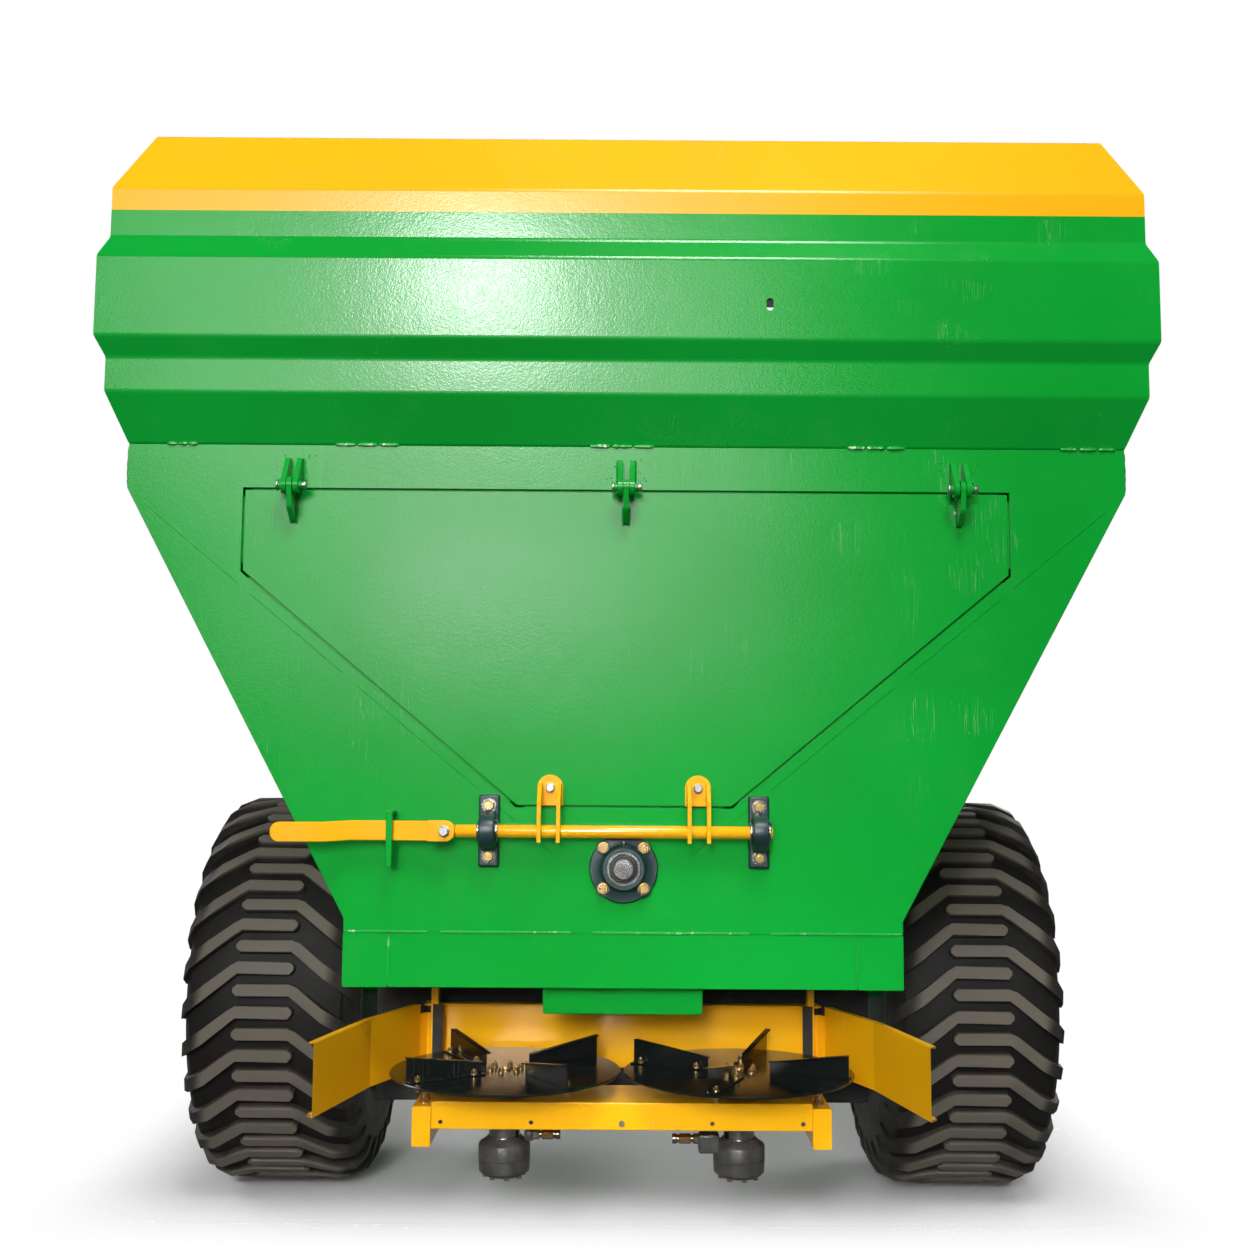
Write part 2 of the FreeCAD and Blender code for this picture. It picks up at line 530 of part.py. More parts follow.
def flange_bearing(name, wall, out):
    """Round cast housing on a wall face; out is the sign of the way it stands off."""
    def run(deep):
        ends = [wall, f"{wall} {out} {deep}"]
        return ends if out == "+" else ends[::-1]
    base = rod(name + "_base", "Y", "bearing_radius", *run("bearing_base"), AXIS)
    boss = rod(name + "_boss", "Y", "boss_radius", *run("bearing_deep"), AXIS)
    bore = rod(name + "_bore", "Y", "auger_journal + running_fit", *run("bearing_deep"), AXIS)
    return cut(name, joined(name + "_blank", base, boss), bore)


subpart("auger_bearings", flange_bearing("back_bearing", "0", "-"),
        flange_bearing("front_bearing", "hopper_long", "+"))

drive_face = "hopper_long + drive_start"
drive_tall = ("auger_high - drive_half", "auger_high + drive_half")
drive_sides = [box(f"{side}_drive_side", across(sign, "drive_half - drive_plate", "drive_half"),
                   ("hopper_long", drive_face), drive_tall) for side, sign in SIDES]
drive_front = cut("drive_front",
                  box("drive_front_plate", ("-drive_half", "drive_half"),
                      (drive_face, f"{drive_face} + drive_plate"), drive_tall),
                  rod("drive_front_hole", "Y", "motor_spigot + spigot_gap", drive_face,
                      f"{drive_face} + drive_plate", AXIS))
subpart("auger_drive_bracket", joined("drive_bracket", *drive_sides, drive_front))
motor_face = f"{drive_face} + drive_plate"
subpart("auger_motor",
        joined("auger_motor_block",
               rod("auger_motor_body", "Y", "drive_radius", motor_face, f"{motor_face} + drive_long", AXIS),
               rod("auger_motor_spigot", "Y", "motor_spigot", f"{drive_face} - spigot_long", motor_face,
                   AXIS)))

# --------------------------------------------------------------------------------- chassis

for side, sign in SIDES:
    outside = box(f"{side}_rail_outside", across(sign, "rail_inner", "rail_outer"), ("0", "rail_end"),
                  ("rail_low", "rail_top"))
    bore = box(f"{side}_rail_bore", across(sign, "rail_inner + rail_wall", "rail_outer - rail_wall"),
               ("rail_wall", "rail_end"), ("rail_low + rail_wall", "rail_top - rail_wall"))
    subpart(f"{side}_rail", cut(f"{side}_rail_tube", outside, bore))

channel = [("0", "rail_low"), ("channel_deep", "rail_low"), ("channel_deep", "rail_low + channel_wall"),
           ("channel_wall", "rail_low + channel_wall"), ("channel_wall", "rail_top - channel_wall"),
           ("channel_deep", "rail_top - channel_wall"), ("channel_deep", "rail_top"), ("0", "rail_top")]
subpart("rear_crossmember",
        cut("rear_channel_saddled",
            plate("rear_channel", "YZ", channel, "-rail_inner", "rail_inner"),
            rod("channel_saddle", "Y", f"{OUTER} + seat_gap", "wall_thick", "channel_deep", AXIS)))

cross_top = f"auger_high - ({OUTER} + seat_gap)"
crosses = []
for place in ("hanger_cross", "axle_cross", "front_cross"):
    run = (place, f"{place} + cross_deep")
    outside = box(f"{place}_outside", ("-rail_inner", "rail_inner"), run, ("rail_low", cross_top))
    bore = box(f"{place}_bore", ("-rail_inner", "rail_inner"),
               (f"{place} + rail_wall", f"{place} + cross_deep - rail_wall"),
               ("rail_low + rail_wall", f"{cross_top} - rail_wall"))
    crosses.append(cut(f"{place}_tube", outside, bore))
subpart("crossmembers", *crosses)

# --------------------------------------------------------------------------- discharge chute

chute_outline = mirror_outline([("chute_top_half", "chute_top"), ("chute_low_half", "chute_low")])
chute_hollow = mirror_outline([("chute_top_half - chute_thick", "chute_top - chute_thick"),
                               ("chute_low_half - chute_thick", "chute_low")])
subpart("discharge_chute",
        cut("chute_walls",
            plate("chute_outside", "XZ", chute_outline, "chute_back", "chute_front"),
            plate("chute_inside", "XZ", chute_hollow, "chute_back + chute_thick", "chute_front - chute_thick"),
            rod("chute_saddle", "Y", f"{OUTER} + seat_gap", "chute_back", "chute_front", AXIS)))

# ---------------------------------------------------------------------------- spreading unit

deck = [("beam_back", "beam_low"), ("beam_back + beam_thick", "beam_low"),
        ("beam_back + beam_thick", "beam_top - beam_thick"), ("beam_front - beam_thick", "beam_top - beam_thick"),
        ("beam_front - beam_thick", "beam_low"), ("beam_front", "beam_low"),
        ("beam_front", "beam_top"), ("beam_back", "beam_top")]
deck_holes = [rod(f"{side}_motor_hole", "Z", "motor_hole", "beam_top - beam_thick", "beam_top",
                  (f"{sign} * disc_across", "disc_along")) for side, sign in SIDES]
bolt_holes = [rod(f"bolt_hole_{number}", "Y", "beam_hole_radius", "beam_back", "beam_back + beam_thick",
                  (f"{step} * beam_hole_step", "beam_hole_high"))
              for number, step in (("one", "-2"), ("two", "-1"), ("three", "1"), ("four", "2"))]
beam = cut("beam_channel", plate("beam_fold", "YZ", deck, "-side_inner", "side_inner"),
           *deck_holes, *bolt_holes)
sides = []
for side, sign in SIDES:
    outside = box(f"{side}_side_outside", across(sign, "side_inner", "side_outer"), ("side_back", "hood_back"),
                  ("side_low", "side_top"))
    bore = box(f"{side}_side_bore", across(sign, "side_inner + side_wall", "side_outer - side_wall"),
               ("side_back + side_wall", "hood_back"), ("side_low + side_wall", "side_top - side_wall"))
    sides.append(cut(f"{side}_side_tube", outside, bore))
subpart("spreader_frame", joined("frame_welded", beam, *sides))
subpart("spreader_hangers", *[
    box(f"{side}_hanger", across(sign, "hanger_inner", "hanger_outer"), ("hanger_back", "hanger_front"),
        ("side_top", "rail_low")) for side, sign in SIDES])

hood = [("hood_back", "hood_low"), ("hood_back + hood_lip", "hood_low"),
        ("hood_back + hood_lip", "hood_low + hood_thick"), ("hood_back + hood_thick", "hood_low + hood_thick"),
        ("hood_back + hood_thick", "hood_top"), ("hood_back", "hood_top")]
subpart("spreader_hood",
        joined("hood_folded",
               plate("hood_plate", "YZ", hood, "-hood_half", "hood_half"),
               cut("hood_lip_notched",
                   box("hood_lip_plate", ("-hood_lip_half", "hood_lip_half"), ("hood_back - hood_lip",
                       "hood_back + hood_thick"), ("hood_top", "hood_top + hood_thick")),
                   *[box(f"{side}_lip_notch", across(sign, "hanger_inner - seat_gap", "hanger_outer + seat_gap"),
                         ("hood_back - hood_lip", "hood_back"), ("hood_top", "hood_top + hood_thick"))
                     for side, sign in SIDES])))
subpart("rubber_skirt", box("skirt_sheet", ("-skirt_half", "skirt_half"),
                            ("skirt_back", "skirt_back + skirt_thick"), ("skirt_low", "hood_low")))

motors = []
for side, sign in SIDES:
    place = (f"{sign} * disc_across", "disc_along")
    motors.append(joined(f"{side}_motor",
                         rod(f"{side}_motor_body", "Z", "motor_radius", "motor_low", "motor_top", place),
                         rod(f"{side}_motor_neck", "Z", "neck_radius", "motor_top", "beam_top", place),
                         rod(f"{side}_motor_flange", "Z", "motor_flange_radius",
                             "beam_top - beam_thick - motor_flange_thick", "beam_top - beam_thick", place),
                         rod(f"{side}_motor_spindle", "Z", "spindle_radius", "beam_top", "spindle_top", place)))
    disc = joined(f"{side}_disc_blank",
                  rod(f"{side}_disc_plate", "Z", "disc_radius", "disc_high", "disc_high + disc_thick", place),
                  rod(f"{side}_disc_hub", "Z", "disc_hub_radius", "disc_hub_low", "disc_high", place))
    subpart(f"{side}_disc",
            cut(f"{side}_disc_bored", disc,
                rod(f"{side}_disc_bore", "Z", "spindle_radius + running_fit", "disc_hub_low",
                    "spindle_top + seat_gap", place)))
    vane_foot = "disc_high + disc_thick"
    blade = [("vane_start", vane_foot), ("vane_end", vane_foot), ("vane_end", f"{vane_foot} + vane_tall"),
             ("vane_start", f"{vane_foot} + vane_low")]
    vanes = []
    for quarter in range(4):
        section = joined(f"{side}_vane_{quarter}_section",
                         plate(f"{side}_vane_{quarter}_blade", "XZ", blade, "vane_aside",
                               "vane_aside + vane_thick"),
                         box(f"{side}_vane_{quarter}_foot", ("vane_start", "vane_end"),
                             ("vane_aside", "vane_aside + vane_flange"),
                             (vane_foot, f"{vane_foot} + vane_thick")))
        spun = document.addObject("Part::Compound", f"{side}_vane_{quarter}")
        spun.Links = [section]
        spun.Placement = FreeCAD.Placement(FreeCAD.Vector(), TURNS["Z"])
        bind(spun, Placement__Rotation__Angle=f"{side}_vane_turn + {quarter} * 90")
        vanes.append(put(spun, *place))
    subpart(f"{side}_vanes", *vanes)
subpart("disc_motors", *motors)

# --------------------------------------------------------------------------- deflector wings

lugs = []
for side, sign in SIDES:
    place = (f"{sign} * rod_across", "hood_back")
    pieces = [rod(f"{side}_hinge_rod", "Z", "rod_radius", "rod_low", "rod_top", place)]
    for level, start in (("low", "rod_low"), ("high", "rod_top - lug_tall")):
        run = (start, f"{start} + lug_tall")
        pieces.append(rod(f"{side}_{level}_lug_eye", "Z", "lug_radius", *run, place))
        pieces.append(box(f"{side}_{level}_lug", across(sign, "hood_half", "rod_across"),
                          ("hood_back - lug_radius", "hood_back + lug_radius"), run))
    lugs.append(cut(f"{side}_rod_and_lugs", joined(f"{side}_lugs_blank", *pieces),
                    box(f"{side}_hood_space", across(sign, "0", "hood_half"),
                        ("hood_back - 2 * lug_radius", "hood_back + 2 * lug_radius"), ("rod_low", "rod_top"))))

    line = [("wing_root_across", "wing_root_along"), ("wing_fold_across", "wing_fold_along"),
            ("wing_end_across", "wing_end_along")]

    def along_line(width):
        return on_side(sign, line + [(f"{x} + {width}", y) for x, y in reversed(line)])

    barrel_run = ("rod_low + lug_tall + barrel_gap", "rod_top - lug_tall - barrel_gap")
    web = on_side(sign, [("rod_across", "hood_back - barrel_radius / 2"),
                         ("wing_root_across", "wing_root_along"),
                         ("wing_root_across + wing_thick", "wing_root_along"),
                         ("rod_across + barrel_radius / 2", "hood_back")])
    wing = joined(f"{side}_wing_blank",
                  rod(f"{side}_wing_barrel", "Z", "barrel_radius", *barrel_run, place),
                  plate(f"{side}_wing_web", "XY", web, *barrel_run),
                  plate(f"{side}_wing_plate", "XY", along_line("wing_thick"), "wing_low", "wing_top"),
                  plate(f"{side}_wing_low_lip", "XY", along_line("wing_lip"), "wing_low", "wing_low + wing_thick"),
                  plate(f"{side}_wing_high_lip", "XY", along_line("wing_lip"), "wing_top - wing_thick", "wing_top"))
    subpart(f"{side}_wing",
            cut(f"{side}_wing_bored", wing,
                rod(f"{side}_barrel_bore", "Z", "rod_radius + running_fit", *barrel_run, place)))
subpart("wing_hinge_rods", *lugs)

# ------------------------------------------------------------------------- axle and wheels

stubs = [rod(f"{side}_stub", "X", "stub_radius", *across(sign, "0", "spindle_end"),
             ("axle_along", "tyre_radius")) for side, sign in SIDES]
subpart("axle_beam",
        joined("axle_with_stubs",
               box("axle_tube", ("-axle_reach", "axle_reach"), ("axle_along - axle_half", "axle_along + axle_half"),
                   ("tyre_radius - axle_half", "tyre_radius + axle_half")), *stubs))

bracket = [("axle_along - bracket_half_top", "rail_low"), ("axle_along + bracket_half_top", "rail_low"),
           ("axle_along + bracket_half_low", "tyre_radius + axle_half"),
           ("axle_along - bracket_half_low", "tyre_radius + axle_half")]
seat = ("tyre_radius + axle_half", "tyre_radius + axle_half + bracket_thick")
brackets = []
for side, sign in SIDES:
    webs = [plate(f"{side}_{face}_bracket_web", "YZ", bracket, *across(sign, inner, outer))
            for face, inner, outer in (("inner", "rail_inner", "rail_inner + bracket_thick"),
                                       ("outer", "rail_outer - bracket_thick", "rail_outer"))]
    base = box(f"{side}_bracket_seat", across(sign, "rail_inner", "rail_outer"),
               ("axle_along - bracket_half_low", "axle_along + bracket_half_low"), seat)
    brackets.append(joined(f"{side}_bracket", base, *webs))
subpart("axle_brackets", *brackets)

bead, seat_round = "rim_half - rim_lip - bead_gap", "seat_radius + bead_gap"
outer_half = [("crown_half", "tyre_radius"), ("shoulder_half", "tyre_radius - shoulder_drop"),
              ("flank_half", "tyre_radius - flank_drop"), ("tyre_half", "tyre_radius - bulge_drop"),
              ("tyre_half", "tyre_radius - bulge_end_drop"),
              ("bead_side_half", "rim_radius + bead_side_rise"),
              (bead, "rim_radius + bead_rise"), (bead, seat_round), (f"{bead} - bead_wide", seat_round)]
inner_half = [(f"{bead} - bead_wide", "rim_radius"),
              ("casing_side_half", "tyre_radius - casing_side"),
              ("casing_shoulder_half", "tyre_radius - casing_shoulder"),
              ("casing_crown_half", "tyre_radius - casing_crown")]
tyre = ([(f"-({x})", r) for x, r in reversed(outer_half)] + outer_half + inner_half
        + [(f"-({x})", r) for x, r in reversed(inner_half)])
seat_end, well_end = "rim_half - rim_lip - seat_wide", "rim_half - rim_lip - seat_wide - well_slope"
rim_outer = [("rim_half", "rim_radius"), ("rim_half - rim_lip", "rim_radius"),
             ("rim_half - rim_lip", "seat_radius"), (seat_end, "seat_radius - seat_fall"),
             (well_end, "well_radius")]
rim_inner = [(f"{well_end} + rim_wall / 2", "well_radius - rim_wall"),
             (f"{seat_end} + rim_wall / 2", "seat_radius - seat_fall - rim_wall"),
             ("rim_half", "seat_radius - rim_wall")]
barrel = (rim_outer + [(f"-({x})", r) for x, r in reversed(rim_outer)]
          + [(f"-({x})", r) for x, r in rim_inner[::-1]] + rim_inner)
bore_end, cap_end = "spindle_end - track_half + cap_gap", "nave_outer + cap_long"
nave_front, web_round = "nave_face + nave_plate", "well_radius - rim_wall / 2"
nave = [("-nave_inner", "stub_radius + running_fit"), ("-nave_inner", "nave_radius"),
        ("nave_face", "nave_radius"), ("nave_face", web_round), (nave_front, web_round),
        (nave_front, "nave_radius"), ("nave_outer", "nave_radius"), ("nave_outer", "cap_radius"),
        (cap_end, "cap_radius"), (cap_end, "0"), (bore_end, "0"),
        (bore_end, "stub_radius + running_fit")]
for side, sign in SIDES:
    centre = (f"{sign} * track_half", "axle_along", "tyre_radius")
    subpart(f"{side}_tyre", turned(f"{side}_tyre_casing", "X", tyre, centre))
    subpart(f"{side}_wheel", joined(f"{side}_wheel_welded",
                                    turned(f"{side}_rim", "X", barrel, centre),
                                    turned(f"{side}_nave", "X", on_side(sign, nave), centre)))

# --------------------------------------------------------------- drawbar, hitch and parking jack

INNER_AT = "(rail_inner - ({y} - rail_end) * (rail_inner - tip_inner) / drawbar_long)"
for side, sign in SIDES:
    outline = on_side(sign, [("rail_inner", "rail_end"), ("rail_outer", "rail_end"),
                             ("tip_outer", "drawbar_front"), ("tip_inner", "drawbar_front")])
    bore = on_side(sign, [("rail_inner + rail_wall", "rail_end + rail_wall"),
                          ("rail_outer - rail_wall", "rail_end + rail_wall"),
                          ("tip_outer - rail_wall", "drawbar_front"), ("tip_inner + rail_wall", "drawbar_front")])
    subpart(f"{side}_drawbar_beam",
            cut(f"{side}_drawbar_tube",
                plate(f"{side}_drawbar_outside", "XY", outline, "rail_low", "rail_top"),
                plate(f"{side}_drawbar_bore", "XY", bore, "rail_low + rail_wall", "rail_top - rail_wall")))

back_half, front_half = INNER_AT.format(y="jack_cross_back"), INNER_AT.format(y="jack_cross_front")
cross_outline = [(f"-{back_half}", "jack_cross_back"), (back_half, "jack_cross_back"),
                 (front_half, "jack_cross_front"), (f"-{front_half}", "jack_cross_front")]
subpart("jack_crossmember",
        plate("jack_cross_plate", "XY", cross_outline, "jack_cross_low", "jack_cross_top",
              circles=[("0", "jack_along", "jack_radius + seat_gap")]))

jack_place = ("0", "jack_along")
subpart("parking_jack",
        joined("jack_whole",
               rod("jack_tube", "Z", "jack_radius", "jack_tube_low", "jack_top", jack_place),
               rod("jack_leg", "Z", "jack_leg_radius", "foot_thick", "jack_tube_low", jack_place),
               box("jack_foot", ("-foot_half", "foot_half"), ("jack_along - foot_half", "jack_along + foot_half"),
                   ("0", "foot_thick")),
               rod("jack_collar", "Z", "jack_radius + collar_wide", "jack_cross_top",
                   "jack_cross_top + collar_thick", jack_place),
               rod("jack_crank", "X", "crank_radius", "0", "crank_reach", ("jack_along", "crank_high")),
               rod("jack_grip", "Y", "crank_radius", "jack_along - grip_long", "jack_along",
                   ("crank_reach", "crank_high"))))

subpart("hitch_plate", box("hitch_plate_block", ("-hitch_half", "hitch_half"), ("drawbar_front", "hitch_front"),
                           ("hitch_low", "rail_top")))
eye_ring = rod("eye_ring", "Z", "eye_radius", "eye_high - eye_thick / 2", "eye_high + eye_thick / 2",
               ("0", "eye_along"))
eye_foot = box("eye_foot", ("-eye_plate_half", "eye_plate_half"), ("hitch_front", "hitch_front + eye_plate_thick"),
               ("eye_high - eye_plate_half", "eye_high + eye_plate_half"))
eye_shank = box("eye_shank", ("-eye_shank_half", "eye_shank_half"),
                ("hitch_front + eye_plate_thick / 2", "eye_along - (eye_radius + eye_bore) / 2"),
                ("eye_high - eye_thick / 2", "eye_high + eye_thick / 2"))
subpart("hitch_eye",
        cut("eye_bored", joined("eye_forging", eye_ring, eye_foot, eye_shank),
            rod("eye_hole", "Z", "eye_bore", "eye_high - eye_thick", "eye_high + eye_thick", ("0", "eye_along"))))

# ------------------------------------------------------------------------ check and export

document.recompute()
for thing in document.Objects:
    if {"Invalid", "Error"} & set(thing.State):
        raise RuntimeError(f"{thing.Name} failed: {thing.State}")
for node in subparts:
    if node.Shape.isNull() or not node.Shape.isValid() or not node.Shape.Solids:
        raise RuntimeError(f"{node.Label} has no valid shape")

os.makedirs("parts", exist_ok=True)
for node in subparts:
    node.Shape.exportStep(f"parts/{node.Label}.step")
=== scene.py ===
"""A towed fertilizer spreader: finishes, folds, welds, bolts, tread and fittings around its steel frame."""

import json
import math
import random

import bmesh
import bpy
from bpy.props import FloatProperty, FloatVectorProperty, IntProperty, PointerProperty
from mathutils import Matrix, Vector


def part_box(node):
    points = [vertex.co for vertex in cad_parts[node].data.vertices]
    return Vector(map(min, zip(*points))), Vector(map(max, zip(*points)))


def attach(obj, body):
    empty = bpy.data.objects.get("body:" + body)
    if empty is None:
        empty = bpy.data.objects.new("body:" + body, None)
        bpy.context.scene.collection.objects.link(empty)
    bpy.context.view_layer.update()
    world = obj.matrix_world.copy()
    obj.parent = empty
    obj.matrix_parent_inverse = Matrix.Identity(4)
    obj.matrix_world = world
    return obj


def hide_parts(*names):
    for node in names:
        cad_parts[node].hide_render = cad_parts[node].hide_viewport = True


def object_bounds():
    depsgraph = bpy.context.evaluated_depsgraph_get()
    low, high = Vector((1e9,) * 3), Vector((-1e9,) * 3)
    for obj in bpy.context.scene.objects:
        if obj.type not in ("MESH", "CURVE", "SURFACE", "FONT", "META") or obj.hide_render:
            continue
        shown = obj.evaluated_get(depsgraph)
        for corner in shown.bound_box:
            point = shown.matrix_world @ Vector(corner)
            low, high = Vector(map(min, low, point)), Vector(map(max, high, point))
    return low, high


bl_info = {
    "name": "Fertilizer spreader",
    "version": (1, 0, 0),
    "blender": (4, 5, 0),
    "location": "View3D > Sidebar > Spreader",
    "description": "Builds the looks of a towed two-disc fertilizer spreader",
    "category": "Object",
}

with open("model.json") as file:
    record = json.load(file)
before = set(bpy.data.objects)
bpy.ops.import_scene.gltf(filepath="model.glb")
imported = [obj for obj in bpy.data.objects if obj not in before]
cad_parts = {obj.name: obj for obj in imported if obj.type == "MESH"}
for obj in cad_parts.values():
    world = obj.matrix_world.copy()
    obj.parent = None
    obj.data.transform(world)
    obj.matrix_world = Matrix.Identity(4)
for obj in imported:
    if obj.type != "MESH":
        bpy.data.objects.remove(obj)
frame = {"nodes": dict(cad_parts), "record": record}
CAD_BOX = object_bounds()
BODY_OF = {node: body for body, nodes in frame["record"]["behaviour"]["bodies"].items() for node in nodes}
SLOT_OF = {part["node"]: part["material_slot"] for part in frame["record"]["subparts"]}

RIGHT = Vector((1, 0, 0))
AHEAD = Vector((0, 1, 0))
UP = Vector((0, 0, 1))
SIDES = (("left", -1), ("right", 1))
BOTH = (-1, 1)

HINGES = (-0.785, 0.0, 0.785)
HINGE_PIN_HEIGHT = 1.924
KNEE_HEIGHT = 1.93
AUGER_HEIGHT = 1.042
PILLOW_BLOCKS = 0.311
PILLOW_BOLTS = 0.0577
KEEPERS = 0.171
HANDLE_BOLT = -0.408
FRAME_HOLES = (0.2024, 0.4048)
FRAME_HOLE_HEIGHT = 0.4825
JACK_CRANK_HEIGHT = 1.040


# ------------------------------------------------------------------------------- shader wiring

class Wire:
    """A socket of a shader tree. Sums on it add Math nodes."""

    def __init__(self, tree, socket=None):
        self.tree = tree
        self.socket = socket

    def make(self, kind, settings, inputs, output=0):
        """Adds a node of a kind: its settings first, then the values or wires of its sockets."""
        node = self.tree.nodes.new(kind)
        for key, value in settings.items():
            setattr(node, key, value)
        for key, value in inputs.items():
            if isinstance(value, Wire):
                self.tree.links.new(value.socket, node.inputs[key])
            else:
                node.inputs[key].default_value = value
        return Wire(self.tree, node.outputs[output])

    def math(self, operation, *values):
        return self.make("ShaderNodeMath", {"operation": operation}, dict(enumerate((self, *values))))

    def __add__(self, other):
        return self.math("ADD", other)

    def __sub__(self, other):
        return self.math("SUBTRACT", other)

    def __rsub__(self, other):
        return self.make("ShaderNodeMath", {"operation": "SUBTRACT"}, {0: other, 1: self})

    def __mul__(self, other):
        return self.math("MULTIPLY", other)

    __radd__ = __add__
    __rmul__ = __mul__

    def between(self, low, high):
        """0 below low, 1 above high, and a soft step from one to the other."""
        return self.make("ShaderNodeMapRange", {"interpolation_type": "SMOOTHSTEP"},
                         {"Value": self, "From Min": low, "From Max": high})

    def tint(self, colour, other):
        """colour where this wire is 0 and other where it is 1."""
        return self.make("ShaderNodeMix", {"data_type": "RGBA"},
                         {0: self, 6: opaque(colour), 7: opaque(other)}, output=2)

    def noise(self, scale, detail=2.0, rough=0.5):
        return self.make("ShaderNodeTexNoise", {}, {"Vector": self, "Scale": scale, "Detail": detail,
                                                    "Roughness": rough})

    def stretched(self, scale, turn=(0, 0, 0), shift=(0, 0, 0)):
        return self.make("ShaderNodeMapping", {}, {"Vector": self, "Location": shift, "Rotation": turn,
                                                   "Scale": scale})

    def part(self, axis):
        """The X, Y or Z of a wire that carries a place."""
        return self.make("ShaderNodeSeparateXYZ", {}, {"Vector": self}, axis)


def opaque(colour):
    return colour if isinstance(colour, Wire) else (*tuple(colour)[:3], 1.0)


def shader(name, colour, rough, bump, deep, metal=0.0, coat=0.0, coat_rough=0.1, specular=0.5, solid=None):
    """A material whose patterns are functions of the wire that carries the piece's own coordinates."""
    material = bpy.data.materials.new(name)
    material.use_nodes = True
    tree = material.node_tree
    tree.nodes.clear()
    spot = Wire(tree).make("ShaderNodeTexCoord", {}, {}, "Object")
    relief = spot.make("ShaderNodeBump", {}, {"Height": bump(spot), "Distance": deep, "Strength": 1.0})
    surface = spot.make("ShaderNodeBsdfPrincipled", {}, {
        "Base Color": colour(spot), "Roughness": rough(spot), "Normal": relief, "Metallic": metal,
        "Coat Weight": coat, "Coat Roughness": coat_rough, "Specular IOR Level": specular,
        "Alpha": solid(spot) if solid else 1.0})
    output = tree.nodes.new("ShaderNodeOutputMaterial")
    tree.links.new(surface.socket, output.inputs["Surface"])
    return material


def hairlines(spot):
    """Fine scratches in three directions, each kept to a few scattered patches."""
    lines = None
    for number, turn in enumerate((0.5, -0.9, 1.35)):
        grain = spot.stretched((150, 150, 5), (0, turn, 0), (number, 0, 0)).noise(1.0, 1.0)
        line = 1 - (grain - 0.5).math("ABSOLUTE").between(0.002, 0.012)
        patch = spot.stretched((1, 1, 1), shift=(3.1 * number, 1.7, 0)).noise(3.4, 2.0).between(0.64, 0.72)
        marked = line * patch
        lines = marked if lines is None else lines.math("MAXIMUM", marked)
    return lines


def enamel(name, colour, shade, gloss, scratch, coat=0.0, ripple=1.0):
    """Sprayed machine enamel: orange peel, soft clouds of colour, road dust and hairline scratches."""
    look = bpy.context.scene.spreader_paint

    def colours(spot):
        clouds = spot.noise(1.3, 3.0).between(0.25, 0.75)
        dust = spot.noise(7.0, 6.0, 0.7).between(0.5, 0.85) * look.dust
        coats = dust.tint(clouds.tint(shade, colour), look.dust_colour)
        return (hairlines(spot) * scratch).tint(coats, (0.62, 0.7, 0.6))

    def rough(spot):
        return gloss + spot.noise(3.0, 4.0) * 0.08 + spot.noise(60.0, 3.0) * 0.06 + hairlines(spot) * 0.2

    def relief(spot):
        crinkle = spot.noise(115.0, 3.0, 0.6) * 1.35
        waves = spot.noise(230.0, 2.0) + crinkle + spot.noise(14.0, 2.0) * 2.0
        return waves * ripple - hairlines(spot) * 0.6

    return shader(name, colours, rough, relief, look.peel, coat=coat, coat_rough=0.17, specular=0.34)


def casting(name, colour, pale, gloss):
    """Painted iron casting with a sandy skin."""
    return shader(name,
                  lambda spot: spot.noise(28.0, 5.0, 0.6).between(0.35, 0.75).tint(colour, pale),
                  lambda spot: gloss + spot.noise(90.0, 3.0) * 0.2,
                  lambda spot: spot.noise(420.0, 3.0, 0.6) + spot.noise(60.0, 2.0),
                  0.0003, coat=0.15, coat_rough=0.25)


def plated(name, colour, pale, gloss):
    """Machined and plated metal with faint turning marks and stains."""
    def rough(spot):
        return gloss + spot.noise(45.0, 4.0) * 0.1 + spot.stretched((900, 60, 60)).noise(1.0, 2.0) * 0.06

    return shader(name, lambda spot: spot.noise(26.0, 3.0, 0.5).between(0.2, 0.8).tint(colour, pale), rough,
                  lambda spot: spot.stretched((700, 90, 90)).noise(1.0, 2.0), 0.00001, metal=1.0)


def scoured_steel(name):
    """Bare auger steel, scoured bright along the way the load slides."""
    def colours(spot):
        rust = spot.noise(9.0, 6.0, 0.7).between(0.56, 0.78)
        return (rust * 0.5).tint(spot.noise(40.0, 4.0).tint((0.42, 0.41, 0.39), (0.62, 0.61, 0.59)),
                                 (0.2, 0.1, 0.05))

    return shader(name, colours, lambda spot: 0.3 + spot.noise(9.0, 6.0, 0.7).between(0.5, 0.8) * 0.35,
                  lambda spot: spot.stretched((40, 500, 40)).noise(1.0, 3.0), 0.0002, metal=0.9)


